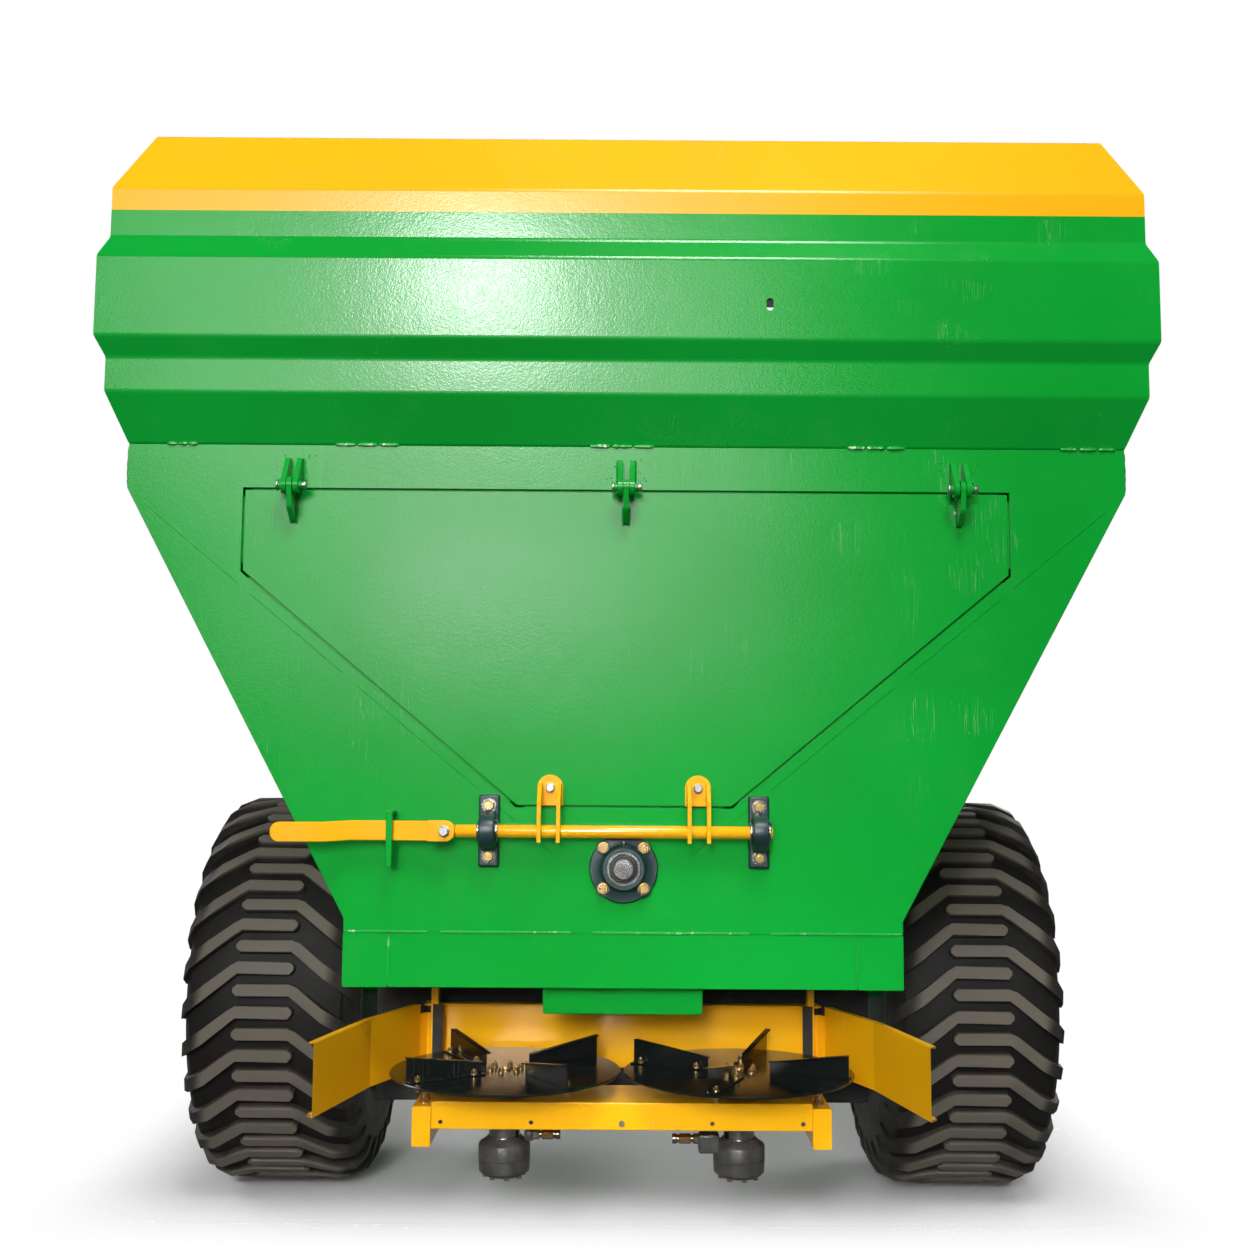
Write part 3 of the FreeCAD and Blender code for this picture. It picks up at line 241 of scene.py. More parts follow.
def tread_rubber(name, grooves):
    """Tyre rubber: lug tops lighter with dust and a painted sheen, painted shade in the grooves between the
    lugs, and a fine moulded grain.
    """
    look = bpy.context.scene.spreader_tyres
    low, high, middle = span("left_tyre")
    radius = (high.z - low.z) / 2

    def reach(spot):
        hub = spot.stretched((1, 1, 1), shift=(0, -middle.y, -middle.z))
        ahead, height = (hub.part(axis) for axis in "YZ")
        return (ahead * ahead + height * height).math("SQRT")

    def colours(spot):
        # lug tops take the lighter crown colour: partly dust, partly a painted sheen
        top = reach(spot).between(radius - look.tread_deep * 0.7, radius - 0.002)
        film = spot.noise(11.0, 6.0, 0.65).between(0.25, 0.8)
        base = film.tint(look.rubber, look.dusty)
        # painted shade: the casing between the lugs is darkened towards the groove colour
        groove_shade = reach(spot).between(radius - 0.066, radius - 0.044) * grooves
        return (top * 0.85).tint(groove_shade.tint(base, look.groove_shade_colour), look.crown)

    def relief(spot):
        rings = (reach(spot) * 620.0).math("SINE")
        return spot.noise(180.0, 3.0, 0.6) + spot.noise(25.0, 3.0) + rings * 0.12

    return shader(name, colours, lambda spot: 0.5 + spot.noise(16.0, 5.0, 0.6) * 0.22, relief, 0.0005,
                  specular=0.3)


def belt_rubber(name):
    """Woven conveyor belting, dull black with pale scuffs."""
    def colours(spot):
        return (spot.noise(13.0, 6.0, 0.7).between(0.5, 0.8) * 0.5).tint((0.012, 0.012, 0.012),
                                                                        (0.06, 0.058, 0.05))

    return shader(name, colours, lambda spot: 0.6 + spot.noise(30.0, 4.0) * 0.25,
                  lambda spot: (spot.part("Z") * 2200.0).math("SINE") * 0.3 + spot.noise(90.0, 3.0), 0.0003)


def weld_metal(name, colour):
    """A painted weld bead, ground back to bare metal in places."""
    def bare(spot):
        return spot.noise(70.0, 3.0, 0.6).between(0.57, 0.63) * spot.noise(7.0, 2.0).between(0.5, 0.62)

    return shader(name, lambda spot: bare(spot).tint(colour, (0.6, 0.72, 0.58)),
                  lambda spot: 0.3 + spot.noise(120.0, 3.0) * 0.25, lambda spot: spot.noise(380.0, 3.0),
                  0.0004, coat=0.3)


def finish(name):
    """The named finish, made the first time that a piece asks for it."""
    paint = bpy.context.scene.spreader_paint
    recipes = {
        "green_enamel": (enamel, paint.green, paint.green_shade, 0.11, 0.1),
        "yellow_enamel": (enamel, paint.yellow, paint.yellow_shade, 0.16, 0.07),
        "yellow_gloss": (enamel, paint.yellow, paint.yellow_shade, 0.16, 0.04, 0.7, 0.2),
        "black_enamel": (enamel, paint.black, paint.black_shade, 0.12, 0.06, 0.3),
        "silver_enamel": (enamel, (0.5, 0.51, 0.52), (0.42, 0.43, 0.44), 0.32, 0.2),
        "blue_black_casting": (casting, (0.008, 0.03, 0.032), (0.02, 0.055, 0.055), 0.28),
        "grey_casting": (casting, (0.035, 0.034, 0.031), (0.075, 0.072, 0.064), 0.32),
        "bright_steel": (plated, (0.3, 0.3, 0.29), (0.55, 0.54, 0.52), 0.16),
        "zinc_plate": (plated, (0.32, 0.32, 0.3), (0.5, 0.5, 0.48), 0.26),
        "gold_plate": (plated, (0.58, 0.38, 0.14), (0.8, 0.6, 0.3), 0.2),
        "brass": (plated, (0.42, 0.24, 0.1), (0.7, 0.46, 0.22), 0.18),
        "black_oxide": (plated, (0.03, 0.03, 0.03), (0.08, 0.08, 0.08), 0.3),
        "scoured_steel": (scoured_steel,),
        # the casing's finish carries painted shade in its grooves; the lugs' finish carries none
        "lug_rubber": (tread_rubber, 0.0),
        "casing_rubber": (tread_rubber, 0.9),
        "belt_rubber": (belt_rubber,),
        "green_weld": (weld_metal, paint.green),
    }
    recipe, *values = recipes[name]
    return bpy.data.materials.get(name) or recipe(name, *values)


# --------------------------------------------------------------------------------- mesh making

def shapes(count):
    return [bmesh.new() for _ in range(count)]


def sharpness(edge):
    return edge.calc_face_angle(0.0) if edge.is_manifold else 0.0


def edges_of(verts):
    return {edge for vert in verts for edge in vert.link_edges}


def faces_of(verts):
    return {face for vert in verts for face in vert.link_faces}


def round_off(bm, edges, radius, steps=2):
    """Bevels edges to a rounding of about radius."""
    if edges and radius > 0:
        bmesh.ops.bevel(bm, geom=edges, offset=radius, offset_type="OFFSET", segments=steps, profile=0.5,
                        affect="EDGES", clamp_overlap=True, material=-1)


def shade(bm, limit=math.radians(38)):
    """Smooth shading across soft edges only. A face much larger than its soft neighbours stays flat."""
    for edge in bm.edges:
        edge.smooth = sharpness(edge) < limit
    for face in bm.faces:
        near = [other.calc_area() for edge in face.edges if 0.01 < sharpness(edge) < limit
                for other in edge.link_faces if other is not face]
        face.smooth = bool(near) and max(near) > 0.25 * face.calc_area()


def piece(name, bm, look, body="trailer", slot="zinc_steel", *nodes):
    """Turns a bmesh into an object that rides on a body and stands for the CAD nodes it replaces."""
    shade(bm)
    mesh = bpy.data.meshes.new(name)
    bm.to_mesh(mesh)
    bm.free()
    mesh.materials.append(finish(look))
    obj = bpy.data.objects.new(name, mesh)
    bpy.context.scene.collection.objects.link(obj)
    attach(obj, body)
    if nodes:
        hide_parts(*nodes)
    return obj


def home(node):
    """The body and the material slot of a CAD node."""
    return BODY_OF[node], SLOT_OF[node]


def span(node):
    """The lowest corner, the highest corner and the middle of a CAD node."""
    low, high = (Vector(corner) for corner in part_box(node))
    return low, high, (low + high) / 2


def spokes(count, first, across, up):
    """Directions at even steps round a circle from first degrees, in the plane of across and up."""
    for turn in range(count):
        angle = math.radians(first + 360 / count * turn)
        yield across * math.cos(angle) + up * math.sin(angle)


def aimed(start, end):
    """The place and turn of a shape whose Z axis runs from start to end, centred between them."""
    start, end = Vector(start), Vector(end)
    return Matrix.Translation((start + end) / 2) @ (end - start).to_track_quat("Z", "Y").to_matrix().to_4x4()


def drum(bm, start, end, radius, tip=None, sides=32, soft=0.0, steps=2):
    """A round bar between two points, tapered to tip if given, with softened rims."""
    length = (Vector(end) - Vector(start)).length
    made = bmesh.ops.create_cone(bm, cap_ends=True, segments=sides, radius1=radius,
                                 radius2=radius if tip is None else tip, depth=length,
                                 matrix=aimed(start, end))["verts"]
    rims = [edge for edge in edges_of(made)
            if len(edge.link_faces) == 2 and max(len(face.verts) for face in edge.link_faces) == sides]
    if sides > 6:
        round_off(bm, rims, soft, steps)
    elif soft:
        round_off(bm, [edge for edge in rims if is_far(edge, end)], soft, 1)


def peg(bm, seat, axis, near, far, radius, *tip, **softness):
    """A drum along an axis through seat, between two distances from it."""
    drum(bm, seat + axis * near, seat + axis * far, radius, *tip, **softness)


def is_far(edge, end):
    return ((edge.verts[0].co + edge.verts[1].co) / 2 - Vector(end)).length < edge.calc_length() * 1.05


def slab(bm, place, soft, steps):
    made = bmesh.ops.create_cube(bm, size=1.0, matrix=place)["verts"]
    round_off(bm, list(edges_of(made)), soft, steps)


def block(bm, low, high, soft=0.0, steps=2):
    """A rectangular block between two corners, its edges softened."""
    low, high = Vector(low), Vector(high)
    slab(bm, Matrix.Translation((low + high) / 2) @ Matrix.Diagonal((*(high - low), 1.0)), soft, steps)


def bar(bm, start, end, wide, thick, soft=0.0):
    """A flat bar between two points of an upright plane, thick along Y."""
    start, end = Vector(start), Vector(end)
    run = end - start
    turn = Matrix((run.normalized(), AHEAD, run.normalized().cross(AHEAD))).transposed().to_4x4()
    size = Matrix.Diagonal((run.length + wide, thick, wide, 1.0))
    slab(bm, Matrix.Translation((start + end) / 2) @ turn @ size, soft, 1)


def lathe(bm, outline, centre, axis, sides=48):
    """Turns an outline of (along the axis, radius) points about an axis through centre."""
    centre = Vector(centre)
    out = axis.orthogonal().normalized()
    verts = [bm.verts.new(centre + axis * along + out * radius) for along, radius in outline]
    edges = [bm.edges.new(pair) for pair in zip(verts, verts[1:])]
    made = bmesh.ops.spin(bm, geom=verts + edges, cent=centre, axis=axis, angle=2 * math.pi, steps=sides,
                          use_merge=True, use_duplicate=False)
    ring = set(verts) | {item for item in made["geom_last"] if isinstance(item, bmesh.types.BMVert)}
    grown = set(ring)
    while ring:
        ring = {edge.other_vert(vert) for vert in ring for edge in vert.link_edges} - grown
        grown |= ring
    bmesh.ops.remove_doubles(bm, verts=list(grown), dist=0.00001)
    alive = [vert for vert in grown if vert.is_valid]
    bmesh.ops.recalc_face_normals(bm, faces=list(faces_of(alive)))


def bead(bm, start, end, radius, seed, pitch=0.006):
    """A rippled weld bead from start to end: a ring drawn out step by step."""
    start, end = Vector(start), Vector(end)
    run = end - start
    steps = max(3, int(run.length / pitch))
    chance = random.Random(seed)
    turn = Matrix.Translation(start) @ run.to_track_quat("Z", "Y").to_matrix().to_4x4()
    ring = bmesh.ops.create_circle(bm, cap_ends=True, segments=6, radius=radius * 0.6, matrix=turn)["verts"]
    face = next(iter(ring[0].link_faces))
    made = set(ring)
    for step in range(1, steps + 1):
        grown = bmesh.ops.extrude_face_region(bm, geom=[face])["geom"]
        face = next(item for item in grown if isinstance(item, bmesh.types.BMFace))
        tips = list(face.verts)
        middle = start + run * (step / steps)
        past = start + run * ((step - 1) / steps)
        bmesh.ops.translate(bm, verts=tips, vec=middle - past)
        swell = radius * chance.uniform(0.8, 1.2) * (0.6 if step == steps else 1.0)
        now = sum((vert.co - middle).length for vert in tips) / len(tips)
        bmesh.ops.scale(bm, verts=tips, vec=(swell / now,) * 3, space=Matrix.Translation(-middle))
        made |= set(tips)
    bmesh.ops.recalc_face_normals(bm, faces=list(faces_of(made)))


def upright_bead(bm, x, y, low, high, radius, seed, pitch):
    bead(bm, (x, y, low), (x, y, high), radius, seed, pitch)


def level_bead(bm, start, end, y, z, radius, seed, pitch=0.008):
    bead(bm, (start, y, z), (end, y, z), radius, seed, pitch)


def hex_bolt(bm, seat, out, size, washer=True, thread=0.0):
    """A hexagon head on a washer at seat, standing out; thread is how far a stud end passes it."""
    look = bpy.context.scene.spreader_bolts
    seat = Vector(seat)
    thick = look.washer if washer else 0.0
    if washer:
        peg(bm, seat, out, -0.0005, thick, size * 0.62, sides=20, soft=0.0004, steps=1)
    top = seat + out * (thick + size * look.head)
    drum(bm, seat + out * thick * 0.9, top, size * 0.577, sides=6, soft=size * 0.08)
    if thread:
        peg(bm, top, out, -0.001, thread, size * 0.29, size * 0.25, sides=12)


def softened(node, look, edge=None, fold=0.0, long_edge=0.0, tips=0.0, reshape=None):
    """A merged copy of a CAD node with rolled folds and rounded edges, which stands for the node.

    edge is the rounding of cut edges, a sheet's if none is given; tips rounds the free ends of upright
    plates; reshape may move vertices before anything is rounded.
    """
    if edge is None:
        edge = bpy.context.scene.spreader_sheet.edge
    bm = bmesh.new()
    bm.from_mesh(frame["nodes"][node].data)
    bmesh.ops.remove_doubles(bm, verts=bm.verts, dist=0.000002)
    bmesh.ops.dissolve_limit(bm, angle_limit=math.radians(0.3), verts=bm.verts, edges=bm.edges)
    if reshape:
        reshape(bm)
    ends = [item for item in bm.edges if item.calc_length() < 0.02 and sharpness(item) > math.radians(30)
            and abs((item.verts[0].co - item.verts[1].co).normalized().x) > 0.99]
    round_off(bm, ends, tips, 4)
    folds = [item for item in bm.edges if math.radians(8) < sharpness(item) < math.radians(75)
             and item.calc_length() > 0.1]
    round_off(bm, folds, fold, 3)
    runs = [item for item in bm.edges if sharpness(item) > math.radians(60) and item.calc_length() > 0.2]
    round_off(bm, runs, long_edge, 3)
    corners = [item for item in bm.edges if sharpness(item) > math.radians(50)]
    round_off(bm, corners, edge, 1 if edge < 0.002 else 2)
    for vert in bm.verts:
        vert.co.z = min(vert.co.z, CAD_BOX[1][2])
    return piece(node + "_finished", bm, look, *home(node), node)


# ------------------------------------------------------------------------- sizes and colours

def as_length(name, description, default):
    return FloatProperty(name=name, description=description, default=default, min=0, unit="LENGTH")


def as_share(name, description, default, most=1):
    return FloatProperty(name=name, description=description, default=default, min=0, max=most,
                         subtype="FACTOR")


def as_angle(name, description, degrees):
    return FloatProperty(name=name, description=description, default=math.radians(degrees), subtype="ANGLE")


def as_power(name, description, default):
    return FloatProperty(name=name, description=description, default=default, min=0, unit="POWER")


def as_colour(name, description, default):
    return FloatVectorProperty(name=name, description=description, default=default, min=0, max=1,
                               subtype="COLOR")


class PaintSettings(bpy.types.PropertyGroup):
    """Colours of the enamel and how it was sprayed."""

    green: as_colour("Green", "Hopper and chassis enamel", (0.002, 0.36, 0.035))
    green_shade: as_colour("Thin green", "The green where the coat is thinner", (0.001, 0.3, 0.024))
    yellow: as_colour("Yellow", "Rim and spreading unit enamel", (0.96, 0.475, 0.005))
    yellow_shade: as_colour("Thin yellow", "The yellow where the coat is thinner", (0.89, 0.42, 0.004))
    black: as_colour("Black", "Disc and vane enamel", (0.004, 0.005, 0.005))
    black_shade: as_colour("Thin black", "The black where the coat is thinner", (0.006, 0.009, 0.008))
    dust_colour: as_colour("Dust", "Dry fertilizer and road dust", (0.4, 0.42, 0.34))
    dust: as_share("Amount of dust", "How much dust lies on the paint", 0.025)
    peel: as_length("Orange peel", "Height of the ripples in the coat", 0.00012)


class SheetSettings(bpy.types.PropertyGroup):
    """Roundings that a press brake, a torch and a grinder leave."""

    fold: as_length("Fold radius", "Rolled folds of the hopper's sheets", 0.007)
    tube: as_length("Tube corner", "Long corners of the square tubes", 0.004)
    edge: as_length("Sheet edge", "Rounding of cut sheet edges", 0.0012)
    forged: as_length("Forged edge", "Rounding of thick plates and forgings", 0.003)
    weld: as_length("Weld bead", "Radius of a fillet weld", 0.0035)


class BoltSettings(bpy.types.PropertyGroup):
    """Proportions of the bolts."""

    head: as_share("Head height", "Head height as a share of the hexagon", 0.55, 2)
    washer: as_length("Washer", "Thickness of a washer", 0.0022)


class DiscSettings(bpy.types.PropertyGroup):
    """How the vanes stand on the spreading discs."""

    left_turn: as_angle("Left vanes", "Turn of the left disc's first vane", 33)
    right_turn: as_angle("Right vanes", "Turn of the right disc's first vane", 67)
    inner: as_length("Vane start", "Distance of a vane's inner end from the spindle", 0.070)
    outer: as_length("Vane end", "Distance of a vane's outer end from the spindle", 0.256)
    aside: as_length("Vane aside", "How far a blade stands beside the spindle's line", 0.012)
    low: as_length("Inner height", "Height of a blade at its inner end", 0.026)
    tall: as_length("Outer height", "Height of a blade at its outer end", 0.054)


class TyreSettings(bpy.types.PropertyGroup):
    """Tread of the two flotation tyres."""

    lugs: IntProperty(name="Lugs", description="Lugs down each side of the tread", default=30, min=4)
    tread_deep: as_length("Tread depth", "Height of a lug over the casing", 0.024)
    # the groove colour is painted shade in the grooves between the lugs
    groove_shade_colour: as_colour("Groove", "Rubber between the lugs", (0.006, 0.0055, 0.005))
    rubber: as_colour("Rubber", "Rubber of the side walls", (0.018, 0.016, 0.013))
    dusty: as_colour("Dusty rubber", "Rubber under a film of dust", (0.062, 0.055, 0.045))
    # the crown colour on the lug tops is partly dust and partly a painted sheen
    crown: as_colour("Lug tops", "Rubber on top of the lugs", (0.185, 0.163, 0.13))


class StageSettings(bpy.types.PropertyGroup):
    """Camera, lamps and floor."""

    lens: FloatProperty(name="Lens", description="Focal length on a 36 mm frame", default=40.6, min=1,
                        unit="CAMERA")
    place: FloatVectorProperty(name="Camera place", description="Where the camera stands",
                               default=(0.004, -5.42, 1.267), subtype="TRANSLATION")
    pitch: as_angle("Pitch", "How far the camera looks up", 5.77)
    roll: as_angle("Roll", "How far the camera leans", 0.4)
    sky: as_share("Sky", "Strength of the white surroundings", 0.1)
    far: as_power("Far lamp", "Power of the small far lamp", 900.0)
    low: as_power("Low lamp", "Power of the lamp on the lower half", 6.5)
    box: as_power("Softbox", "Power of the broad box behind the camera", 165.0)
    panel: as_power("Sheen panel", "Power of the panel mirrored in the wall", 80.0)
    side: as_power("Side lamps", "Power of the lamps beside and ahead", 300.0)
    high: as_power("High lamp", "Power of the high lamp", 300.0)


# ---------------------------------------------------------------------------------- the pieces

class SPREADER_OT_hopper(bpy.types.Operator):
    """Rolls the folds of the hopper's walls, floor, ribbed extension and rim."""

    bl_idname = "spreader.hopper"
    bl_label = "Hopper"

    def execute(self, context):
        fold = context.scene.spreader_sheet.fold
        for node in ("rear_wall", "front_wall", "rear_door", "left_hopper_floor", "right_hopper_floor",
                     "left_hopper_ribs", "right_hopper_ribs"):
            softened(node, "green_enamel")
        for wall in ("rear", "front", "left", "right"):
            softened(wall + "_upper_panel", "green_enamel", fold=fold)
            softened(wall + "_rim", "yellow_enamel", fold=fold)

        # the stop strip inside follows the tailgate's own outline
        door = frame["nodes"]["rear_door"].data
        inside = max(vert.co.y for vert in door.vertices)
        places = {(round(vert.co.x, 3), round(vert.co.z, 3)) for vert in door.vertices
                  if vert.co.y > inside - 0.001}
        middle = span("rear_door")[2]
        ring = sorted(places, key=lambda place: math.atan2(place[1] - middle.z, place[0]))
        lip, seal = shapes(2)
        for (x, z), (far_x, far_z) in zip(ring, ring[1:] + ring[:1]):
            bar(lip, (x, inside + 0.0035, z), (far_x, inside + 0.0035, far_z), 0.030, 0.003)
        piece("door_landing", lip, "green_enamel", *home("rear_wall"))

        # a dark rubber flap closes the sight slot of the rear panel from inside; its black stands in for the
        # shade inside the hopper
        block(seal, (0.305, -2.1850, 2.352), (0.365, -2.1835, 2.425), 0.0005, 1)
        piece("slot_seal", seal, "belt_rubber", BODY_OF["rear_upper_panel"], "skirt_rubber")
        return {"FINISHED"}


class SPREADER_OT_welds(bpy.types.Operator):
    """Lays the weld beads along the back wall, its floor line and the frame's end box."""

    bl_idname = "spreader.welds"
    bl_label = "Weld beads"

    # start and end across of each bead under the ribbed panel and on top of the end box
    PANEL_BEADS = ((-1.09, -1.015), (-0.69, -0.535), (-0.085, 0.07), (0.525, 0.665), (1.03, 1.165))
    BOX_BEADS = ((-0.64, -0.45), (-0.42, -0.12), (-0.07, 0.29), (0.34, 0.64))

    # the line of the hopper floor on the back wall, as (across, height), and the shares of it that show
    FLOOR_FOOT = (0.155, 1.068)
    FLOOR_KNEE = (1.165, 1.909)
    FLOOR_MARKS = ((0.0, 0.16), (0.18, 0.47), (0.5, 0.72), (0.75, 0.97))

    # tack welds on the rails, as distances ahead of the back wall
    TACKS = (0.62, 2.03)

    def wall_seams(self, radius, wall, top):
        """The seam under the ribbed panel, the seams of the end box and the line of the floor behind."""
        rail_low, rail_high, _ = span("right_rail")
        skin = wall - radius * 0.25
        bm, marks = shapes(2)
        for number, (start, end) in enumerate(self.PANEL_BEADS):
            for step in range(3):
                width = (end - start) / 3
                first = start + step * width
                level_bead(bm, first, first + width * 0.9, wall - 0.002, top + 0.001, radius * 1.25,
                           number * 7 + step)
        for number, (start, end) in enumerate(self.BOX_BEADS):
            level_bead(bm, start, end, skin, rail_high.z + 0.002, radius * 0.8, 60 + number)
        for sign in BOTH:
            upright_bead(bm, sign * rail_low.x, skin, rail_low.z + 0.006, rail_high.z - 0.004, radius * 0.7,
                         80 + sign, 0.009)
            foot, knee = (Vector((sign * across, wall - 0.0004, height))
                          for across, height in (self.FLOOR_FOOT, self.FLOOR_KNEE))
            run = knee - foot
            for number, (start, end) in enumerate(self.FLOOR_MARKS):
                bead(marks, foot + run * start, foot + run * end, radius * 0.36, 90 + number, 0.012)
        piece("rear_wall_welds", bm, "green_weld", *home("rear_wall"))
        piece("floor_line_marks", marks, "green_enamel", *home("rear_wall"))

    def hinge_seams(self, radius, wall):
        """The seams of the hinge ears with their spatter, and of the straps."""
        ears, straps = span("door_hinge_ears")[1].z, span("door_hinge_straps")[0].z
        skin = span("rear_door")[0].y - 0.001
        bm, strap_welds = shapes(2)
        for across in HINGES:
            for side in BOTH:
                edge = across + side * 0.021
                upright_bead(bm, edge, wall - 0.001, ears - 0.056, ears + 0.002, radius * 1.1, 120 + side,
                             0.007)
                for spot in range(4):
                    chance = random.Random(across * 10 + side * 3 + spot)
                    place = Vector((edge + side * chance.uniform(0.004, 0.03), wall - 0.0006,
                                    ears - chance.uniform(-0.01, 0.06)))
                    tail = Vector((0.003, 0, chance.uniform(-0.002, 0.004)))
                    bead(bm, place, place + tail, radius * 0.5, spot, 0.002)
                upright_bead(strap_welds, across + side * 0.0075, skin, straps - 0.002, straps + 0.042,
                             radius * 0.9, 140 + side, 0.007)
        piece("hinge_ear_welds", bm, "green_weld", *home("rear_wall"))
        piece("door_strap_welds", strap_welds, "green_weld", *home("rear_door"))

    def execute(self, context):
        radius = context.scene.spreader_sheet.weld
        low, high, _ = span("rear_wall")
        self.wall_seams(radius, low.y, high.z)
        self.hinge_seams(radius, low.y)

        bm = bmesh.new()
        for side, sign in SIDES:
            rail_low, rail_high, _ = span(side + "_rail")
            for along in self.TACKS:
                place = low.y + along
                for face in (rail_low.x, rail_high.x):
                    bead(bm, (face, place - 0.001, rail_high.z + 0.002),
                         (face, place + 0.007, rail_high.z + 0.002), radius, 170, 0.003)
            for corner, seed in ((low.y + 0.006, 175), (-low.y - 1.346, 176)):
                upright_bead(bm, sign * 1.1825, corner, KNEE_HEIGHT, KNEE_HEIGHT + 0.094, radius, seed, 0.008)
        piece("side_welds", bm, "green_weld", *home("rear_wall"))
        return {"FINISHED"}


class SPREADER_OT_hinges(bpy.types.Operator):
    """Rounds the tailgate's hinge ears and straps and adds their split pins."""

    bl_idname = "spreader.hinges"
    bl_label = "Tailgate hinges"

    def execute(self, context):
        edge = context.scene.spreader_sheet.edge * 1.2
        softened("door_hinge_ears", "green_enamel", edge, tips=0.010)
        softened("door_hinge_straps", "green_enamel", edge, tips=0.008)
        bm = bmesh.new()
        for across in HINGES:
            pin = Vector((across, span("rear_wall")[0].y - 0.043, HINGE_PIN_HEIGHT))
            peg(bm, pin, RIGHT, 0.022, 0.037, 0.0098, soft=0.0015)
            peg(bm, pin, RIGHT, -0.028, -0.033, 0.013, soft=0.0015)
            drum(bm, pin + Vector((0.025, -0.018, -0.004)), pin + Vector((0.025, 0.02, 0.004)), 0.0018,
                 sides=10)
        piece("hinge_pin_ends", bm, "zinc_plate", BODY_OF["door_hinge_ears"])
        return {"FINISHED"}


class SPREADER_OT_latch(bpy.types.Operator):
    """Makes the tailgate latch: shaft, pillow blocks, keepers, folding handle and its hook."""

    bl_idname = "spreader.latch"
    bl_label = "Tailgate latch"

    def pillow_block(self, cast, bright, oxide, gold, middle, wall):
        """A housing round the latch shaft at middle: foot, barrel, insert, grease nipple and two bolts."""
        face = wall - 0.015
        foot = Vector((middle.x, 0, middle.z))
        high = foot + Vector((0.024, wall + 0.0002, 0.0825))
        block(cast, foot + Vector((-0.024, face, -0.0825)), high, 0.005, 3)
        peg(cast, middle, RIGHT, -0.018, 0.018, 0.040, sides=40, soft=0.004, steps=3)
        high = foot + Vector((0.016, wall - 0.0135, 0.046))
        block(cast, middle - Vector((0.016, 0, 0.046)), high, 0.006, 3)
        for side in BOTH:
            peg(oxide, middle, RIGHT * side, 0.016, 0.0195, 0.031, sides=36)
            peg(bright, middle, RIGHT * side, 0.018, 0.024, 0.0235, sides=36, soft=0.0015)
        drum(bright, middle + Vector((0.022, -0.012, 0.014)), middle + Vector((0.022, -0.021, 0.025)), 0.0032,
             sides=8)
        drum(bright, middle + Vector((0, -0.008, 0.038)), middle + Vector((0, -0.011, 0.052)), 0.0045, 0.003,
             sides=12, soft=0.001)
        for up in (-PILLOW_BOLTS, PILLOW_BOLTS):
            seat = Vector((middle.x, face, middle.z + up))
            peg(bright, seat, -AHEAD, -0.001, 0.0026, 0.0172, sides=32, soft=0.0006, steps=1)
            hex_bolt(gold, seat - AHEAD * 0.0024, -AHEAD, 0.023, False, 0.004)

    def lever(self, edge):
        """The CAD's folding handle with its grip end rounded and its cranks rolled, and the fork it joins."""
        low, high, _ = span("latch_handle")
        front = span("latch_shaft")[2].y

        def rounded(bm):
            tips = [item for item in bm.edges if all(vert.co.x < low.x + 0.001 for vert in item.verts)
                    and abs(item.verts[0].co.y - item.verts[1].co.y) > 0.004]
            round_off(bm, tips, (high.z - low.z) * 0.46, 6)
            for vert in bm.verts:
                if vert.co.x > high.x - 0.001 and vert.co.y < front - 0.005:
                    vert.co.x -= 0.024
                if vert.co.x < low.x + 0.131:
                    vert.co.z -= 0.003

        softened("latch_handle", "yellow_enamel", edge, fold=0.003, reshape=rounded)
        fork = bmesh.new()
        block(fork, (high.x - 0.060, front - 0.0185, low.z - 0.001),
              (high.x + 0.0005, front - 0.0062, high.z + 0.0015))
        tips = [item for item in fork.edges if all(vert.co.x > high.x for vert in item.verts)
                and abs(item.verts[0].co.y - item.verts[1].co.y) > 0.003]
        round_off(fork, tips, 0.021, 6)
        skin = [item for item in fork.edges if all(vert.co.y < front - 0.018 for vert in item.verts)]
        round_off(fork, skin, 0.001, 1)
        piece("latch_fork", fork, "yellow_enamel", *home("latch_handle"))

    def execute(self, context):
        edge = context.scene.spreader_sheet.edge
        wall = span("rear_wall")[0].y
        low, high, shaft = span("latch_shaft")
        shaft_bar, cast, bright, oxide, gold, zinc, tabs = shapes(7)
        end = ((0.0, 0.0), (0.0, 0.010), (0.0015, 0.0135), (0.004, 0.0150))
        far = [(high.x - low.x - along, radius) for along, radius in reversed(end)]
        lathe(shaft_bar, [*end, *far], (low.x, shaft.y, shaft.z), RIGHT, 40)
        piece("latch_bar", shaft_bar, "yellow_gloss", *home("latch_shaft"), "latch_shaft")

        for across in (-PILLOW_BLOCKS, PILLOW_BLOCKS):
            self.pillow_block(cast, bright, oxide, gold, Vector((across, shaft.y, shaft.z)), wall)
        piece("pillow_blocks", cast, "blue_black_casting", "trailer", "cast_housing", "latch_bearings")
        piece("pillow_inserts", bright, "bright_steel")
        piece("pillow_shields", oxide, "black_oxide", "trailer", "cast_housing")
        piece("latch_bolts", gold, "gold_plate")

        softened("door_keepers", "yellow_enamel")
        for across in (-KEEPERS, KEEPERS):
            hex_bolt(tabs, (across, wall - 0.006, span("door_keepers")[1].z - 0.030), -AHEAD, 0.018)
        piece("keeper_bolts", tabs, "zinc_plate", BODY_OF["door_keepers"])

        self.lever(edge * 1.4)
        softened("handle_hook", "green_enamel", edge * 2)
        hex_bolt(zinc, (HANDLE_BOLT, shaft.y - 0.0184, shaft.z), -AHEAD, 0.021)
        piece("handle_bolt", zinc, "zinc_plate")
        return {"FINISHED"}


